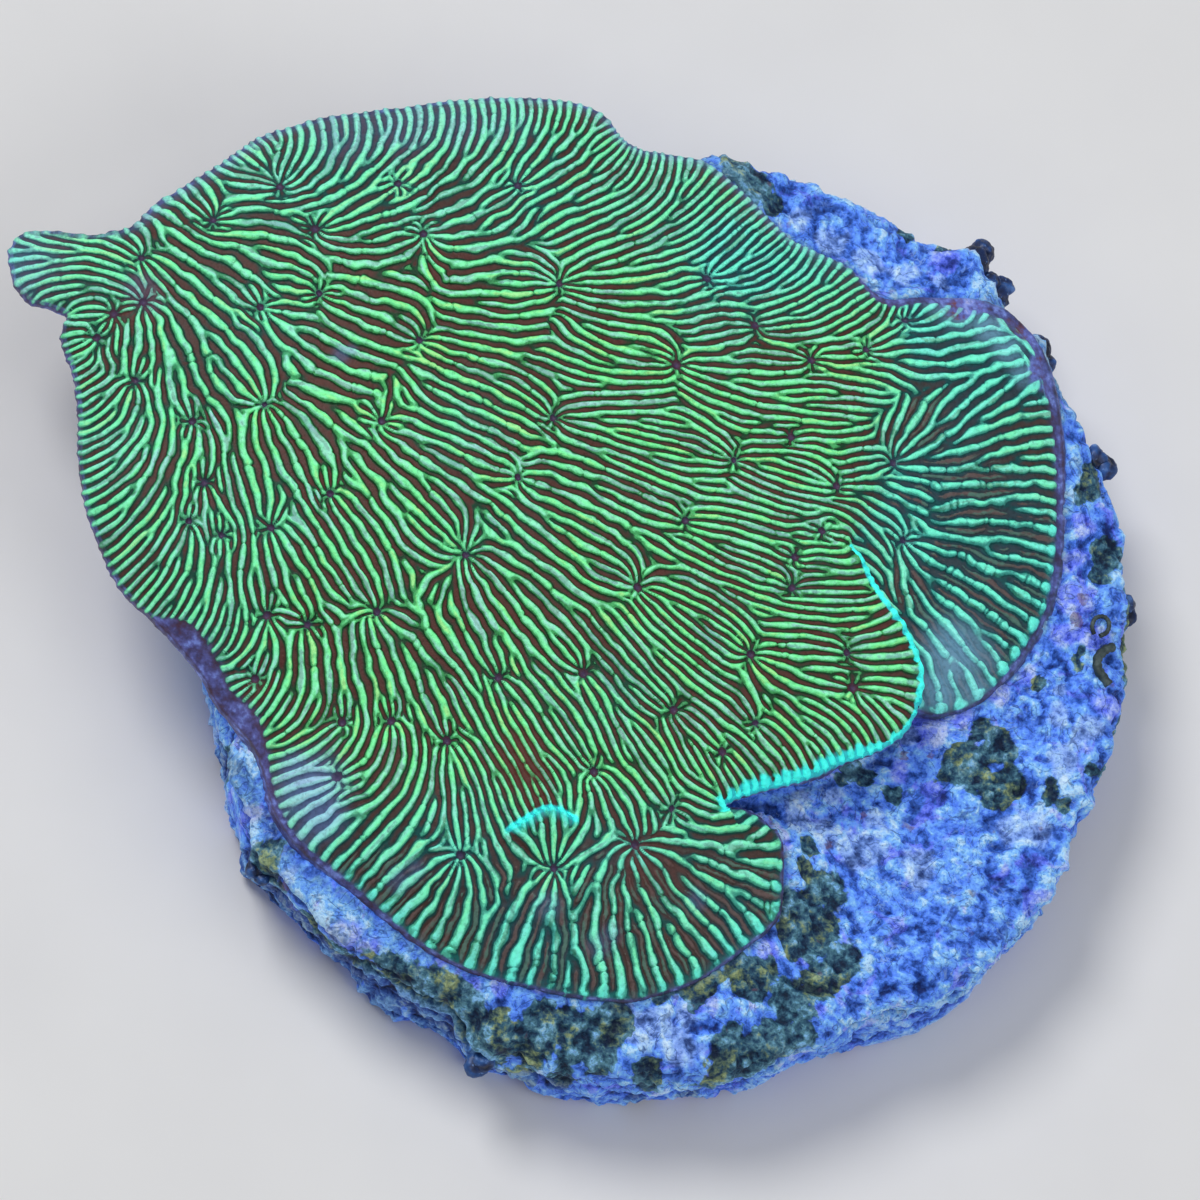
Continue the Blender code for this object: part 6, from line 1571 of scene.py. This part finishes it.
def crust_look():
    m = Look("crusted_disc_look")
    algae_, chalk_, violet_, rust_ = (m.attr(k) for k in ("algae", "chalk", "violet", "rust"))
    hollow_shade_, relief_light_, tuft_, lower_ = (m.attr(k) for k in ("hollow", "relief_light", "tuft", "lower"))
    n1, n2, n3 = m.noise(1.7, 3.0, 0.6, 0.4), m.noise(0.58, 2.5, 0.6, 0.5), m.noise(0.22, 2.5, 0.6, 0.3)

    def blend(*terms):
        out = 0.5
        for v, gain in terms:
            out = m.math("ADD", out, m.math("MULTIPLY", m.math("SUBTRACT", v, 0.5), gain))
        return out

    # bare crust: lavender-blue tones from noise, with painted light and shade by height, navy in the dips through to
    # near-white tops
    k = m.math("ADD", blend((relief_light_, 0.55), (n1, 1.1), (n2, 0.8), (n3, 1.0)), 0.05)
    lav = m.ramp(k, [(0.02, lin(14, 42, 112)), (0.16, lin(34, 76, 162)), (0.30, lin(60, 108, 206)), (0.44, lin(84, 134, 248)), (0.56, lin(102, 156, 255)),
                     (0.70, lin(114, 174, 255)), (0.84, lin(140, 200, 255)), (0.97, lin(184, 224, 255))])
    vio = m.ramp(k, [(0.05, lin(26, 38, 120)), (0.30, lin(70, 84, 206)), (0.50, lin(110, 122, 252)), (0.72, lin(142, 152, 255)), (0.95, lin(192, 200, 255))])
    drift = blend((m.noise(1.1, 3.0, 0.6, 0.8), 1.0))
    col = m.mix(m.math("MULTIPLY", m.math("MAXIMUM", violet_, m.span(drift, 0.56, 0.66)), 0.75), lav, vio)
    ch = m.ramp(k, [(0.05, lin(52, 78, 134)), (0.30, lin(104, 138, 206)), (0.52, lin(150, 184, 250)), (0.75, lin(172, 208, 255)), (0.95, lin(208, 232, 255))])
    col = m.mix(m.math("MULTIPLY", chalk_, 0.82), col, ch)
    # painted shade: thin dark crease lines, and painted highlights: thin pale strokes on the brighter parts
    shaded_crease = m.math("ABSOLUTE", m.math("SUBTRACT", m.noise(1.0, 2.0, 0.5, 1.2), 0.5))
    highlight_stroke = m.math("ABSOLUTE", m.math("SUBTRACT", m.noise(0.62, 1.5, 0.5, 1.6), 0.5))
    col = m.mix(m.math("MULTIPLY", m.span(shaded_crease, 0.034, 0.006), m.span(n2, 0.62, 0.42, 0.15, 0.60)), col, lin(26, 54, 120))
    col = m.mix(m.math("MULTIPLY", m.span(highlight_stroke, 0.028, 0.005), m.span(n1, 0.44, 0.62, 0.0, 0.42)), col, lin(174, 210, 255))
    # turf algae: dark teal, with olive tips and blue crust showing through
    # painted light and shade: the algae are lighter on the tops and darker in the dips
    g = blend((relief_light_, 0.60), (n2, 1.0), (n3, 1.7), (n1, 0.6))
    teal = m.ramp(g, [(0.05, lin(8, 28, 42)), (0.25, lin(22, 54, 66)), (0.45, lin(46, 86, 96)), (0.65, lin(74, 116, 124)), (0.85, lin(98, 150, 178)), (1.0, lin(126, 182, 228))])
    olive = m.ramp(g, [(0.05, lin(14, 30, 32)), (0.25, lin(38, 58, 44)), (0.45, lin(72, 92, 62)), (0.65, lin(104, 120, 72)), (0.85, lin(134, 146, 88)), (1.0, lin(150, 170, 120))])
    green = m.mix(m.span(blend((m.noise(1.3, 2.0, 0.5, 0.5), 1.0), (n3, 0.6)), 0.50, 0.66), teal, olive)
    fray = blend((algae_, 1.0), (n2, 1.3), (n3, 1.0))
    col = m.mix(m.math("MULTIPLY", m.span(fray, 0.28, 0.66), 0.94), col, green)
    spot = blend((rust_, 1.0), (n2, 1.6))
    col = m.mix(m.math("MULTIPLY", m.span(spot, 0.55, 1.0), 0.6), col, lin(112, 78, 92))
    navy = m.ramp(k, [(0.15, lin(8, 20, 62)), (0.40, lin(34, 60, 176)), (0.65, lin(72, 112, 236)), (0.90, lin(130, 176, 255))])
    col = m.mix(m.math("MULTIPLY", lower_, 0.45), col, navy)
    # painted shade in the dips, in the cracks and along the coral's margin, and paler grit
    col = m.mix(m.math("MULTIPLY", hollow_shade_, 0.72), col, lin(7, 18, 52))
    grit = m.noise(0.12, 2.5, 0.65)
    col = m.mix(0.9, col, m.ramp(grit, [(0.36, (0.46, 0.54, 0.66, 1)), (0.47, (0.90, 0.93, 0.97, 1)), (0.58, (1.0, 1.0, 1.0, 1))]), "MULTIPLY")
    m.set("Base Color", col)
    # painted glow: the crust emits its own colour faintly
    m.set("Emission Color", col)
    m.set("Emission Strength", 0.20)
    m.set("Roughness", m.math("ADD", 0.5, m.math("MULTIPLY", n2, 0.35)))
    m.set("Specular IOR Level", 0.25)
    h = m.math("ADD", m.math("MULTIPLY", n3, 0.8), m.math("ADD", n2, m.math("MULTIPLY", grit, 0.4)))
    m.set("Normal", m.bump(h, 0.16, 0.8))
    return m.mat


def seat_look():
    m = Look("disc_underside_look")
    n1, n2 = m.noise(2.0, 4.0, 0.6), m.noise(0.25, 4.0, 0.6)
    col = m.ramp(n1, [(0.3, lin(128, 128, 146)), (0.5, lin(168, 168, 178)), (0.7, lin(190, 188, 190))])
    col = m.mix(m.math("MULTIPLY", m.span(n2, 0.56, 0.66), 0.4), col, lin(92, 100, 150))
    col = m.mix(m.math("MULTIPLY", m.span(n1, 0.60, 0.68), 0.5), col, lin(74, 84, 74))
    m.set("Base Color", col)
    m.set("Roughness", m.math("ADD", 0.6, m.math("MULTIPLY", n2, 0.3)))
    m.set("Normal", m.bump(n2, 0.08, 0.5))
    return m.mat


def clump_look():
    m = Look("rim_growth_look")
    bulge_shade_ = m.attr("bulge")
    n1, n2 = m.noise(0.5, 4.0, 0.6), m.noise(0.12, 3.0)
    # painted light and shade: darker in the dips, lighter on the bulges
    col = m.ramp(m.math("ADD", m.math("MULTIPLY", bulge_shade_, 1.6), n1), [(0.25, lin(8, 20, 48)), (0.5, lin(20, 44, 92)), (0.8, lin(46, 92, 160)), (1.0, lin(110, 150, 210))])
    col = m.mix(m.math("MULTIPLY", m.span(n2, 0.62, 0.72), 0.5), col, lin(120, 160, 225))
    m.set("Base Color", col)
    m.set("Roughness", m.math("ADD", 0.3, m.math("MULTIPLY", n2, 0.3)))
    m.set("Normal", m.bump(n1, 0.06, 0.5))
    return m.mat


def tube_look():
    m = Look("worm_tube_look")
    n1, n2 = m.noise(0.3, 3.0), m.noise(0.08, 3.0)
    col = m.ramp(n1, [(0.3, lin(26, 38, 48)), (0.5, lin(48, 64, 66)), (0.72, lin(84, 102, 104))])
    m.set("Base Color", col)
    m.set("Roughness", m.math("ADD", 0.45, m.math("MULTIPLY", n2, 0.3)))
    m.set("Normal", m.bump(n2, 0.03, 0.6))
    return m.mat


# =============================================================================
# Pieces
# =============================================================================
CORAL = coral_look("coral_ridges_look")
CRUST = crust_look()
UNDER = underside_look()

mid_xy = (P_plate[T_plate[:, 0], :2] + P_plate[T_plate[:, 1], :2] + P_plate[T_plate[:, 2], :2]) / 3
CUT_Y, CUT_X = 4.6, -7.6
top_part = mid_xy[:, 1] >= CUT_Y
west = mid_xy[:, 0] < CUT_X
pieces_made = []
for name, sel in (("plate_crown_west", top_part & west), ("plate_crown_east", top_part & ~west),
                  ("plate_skirt_west", ~top_part & west), ("plate_skirt_east", ~top_part & ~west)):
    pieces_made.append(finish_piece(cut_piece(name, P_plate, T_plate, N_plate, CORAL, sel), "coral_skeleton"))
pieces_made.append(finish_piece(cut_piece("fan_right", P_fan, T_fan, N_fan, CORAL, np.ones(len(T_fan), bool), SHADED_SHEET), "coral_skeleton"))

ob = new_mesh("colony_margin", P_rim, T_rim, smooth_normals(P_rim, T_rim), RIM_ATTR, uv=UV_rim)
ob.data.materials.append(CORAL)
pieces_made.append(finish_piece(ob, "coral_skeleton"))
ob = new_mesh("plate_lip", P_lip, T_lip, smooth_normals(P_lip, T_lip), LIP_ATTR, uv=UV_lip)
ob.data.materials.append(CORAL)
pieces_made.append(finish_piece(ob, "coral_skeleton"))
ob = new_mesh("colony_underside", P_under, T_under, smooth_normals(P_under, T_under), UNDER_ATTR, plan_uv=True)
ob.data.materials.append(UNDER)
pieces_made.append(finish_piece(ob, "coral_skeleton"))

ob = new_mesh("disc_crust", P_crust, T_crust, smooth_normals(P_crust, T_crust), CRUST_ATTR, uv=UV_crust)
ob.data.materials.append(CRUST)
pieces_made.append(finish_piece(ob, "crusted_disc"))
ob = new_mesh("disc_underside", P_seat, T_seat, smooth_normals(P_seat, T_seat), {}, plan_uv=True)
ob.data.materials.append(seat_look())
pieces_made.append(finish_piece(ob, "crusted_disc"))
ob = new_mesh("rim_growths", P_clump, T_clump, smooth_normals(P_clump, T_clump), {"bulge": A_clump})
ob.data.materials.append(clump_look())
pieces_made.append(finish_piece(ob, "crusted_disc"))

tube_mat = tube_look()
for k, (closed, r, path) in enumerate(TUBES):
    v, t = tube_mesh(path, r, closed, 18, k)
    if np.cross(v[t[0, 1]] - v[t[0, 0]], v[t[0, 2]] - v[t[0, 0]]) @ (v[t[0, 0]] - np.array(path[0])) < 0:
        t = t[:, ::-1]
    ob = new_mesh("worm_tube_%d" % (k + 1), v, t, smooth_normals(v, t), {})
    ob.data.materials.append(tube_mat)
    pieces_made.append(finish_piece(ob, "crusted_disc"))

for ob in pieces_made:
    if ob["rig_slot"] == "coral_skeleton":
        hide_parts("coral_colony")
    else:
        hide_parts("frag_disc")

# =============================================================================
# Floor, light and camera
# =============================================================================
floor_me = bpy.data.meshes.new("floor")
fl = 3.0
floor_me.from_pydata([(-fl, -fl, -0.00002), (fl, -fl, -0.00002), (fl, fl, -0.00002), (-fl, fl, -0.00002)], [], [(0, 1, 2, 3)])
floor = bpy.data.objects.new("floor", floor_me)
bpy.context.scene.collection.objects.link(floor)
fm = Look("floor_look")
fn = fm.noise(9.0, 3.0)
fm.set("Base Color", fm.ramp(fn, [(0.3, (0.80, 0.80, 0.81, 1)), (0.7, (0.84, 0.84, 0.845, 1))]))
fm.set("Roughness", 0.85)
floor.data.materials.append(fm.mat)


def area(name, loc, target, size, power, colour=(1, 1, 1)):
    li = bpy.data.lights.new(name, "AREA")
    li.shape = "DISK"
    li.size = size
    li.energy = power
    li.color = colour
    o = bpy.data.objects.new(name, li)
    o.location = loc
    o.rotation_euler = (Vector(target) - Vector(loc)).to_track_quat("-Z", "Y").to_euler()
    o.visible_camera = False
    bpy.context.scene.collection.objects.link(o)


area("key", (-0.30, 0.34, 0.62), (0, 0, 0), 0.30, 2.9)
area("fill", (0.46, -0.30, 0.50), (0, 0, 0), 0.50, 1.1)
area("top", (0.0, 0.0, 0.80), (0, 0, 0), 0.60, 1.0)
world = bpy.data.worlds.new("studio")
world.use_nodes = True
world.node_tree.nodes["Background"].inputs["Color"].default_value = (0.86, 0.88, 0.90, 1)
world.node_tree.nodes["Background"].inputs["Strength"].default_value = 0.22
bpy.context.scene.world = world
bpy.context.scene.view_settings.view_transform = "Standard"
bpy.context.scene.view_settings.look = "None"

cam_data = bpy.data.cameras.new("camera")
cam_data.sensor_width = 36.0
cam_data.lens = 36.0 * 300.0 / 40.44
cam_data.clip_start = 0.01
cam_data.clip_end = 10.0
cam_data.dof.use_dof = False
cam = bpy.data.objects.new("camera", cam_data)
right, up_v, back = Vector((0.98722, -0.01988, 0.15810)), Vector((-0.01988, 0.96908, 0.24594)), Vector((-0.15810, -0.24594, 0.95630))
rot = Matrix((right, up_v, back)).transposed().to_4x4()
target = Vector((-1.8672, 1.6996, 0.0)) * MM
cam.matrix_world = Matrix.Translation(target + back * 0.300) @ rot
bpy.context.scene.collection.objects.link(cam)
bpy.context.scene.camera = cam

bpy.context.view_layer.update()
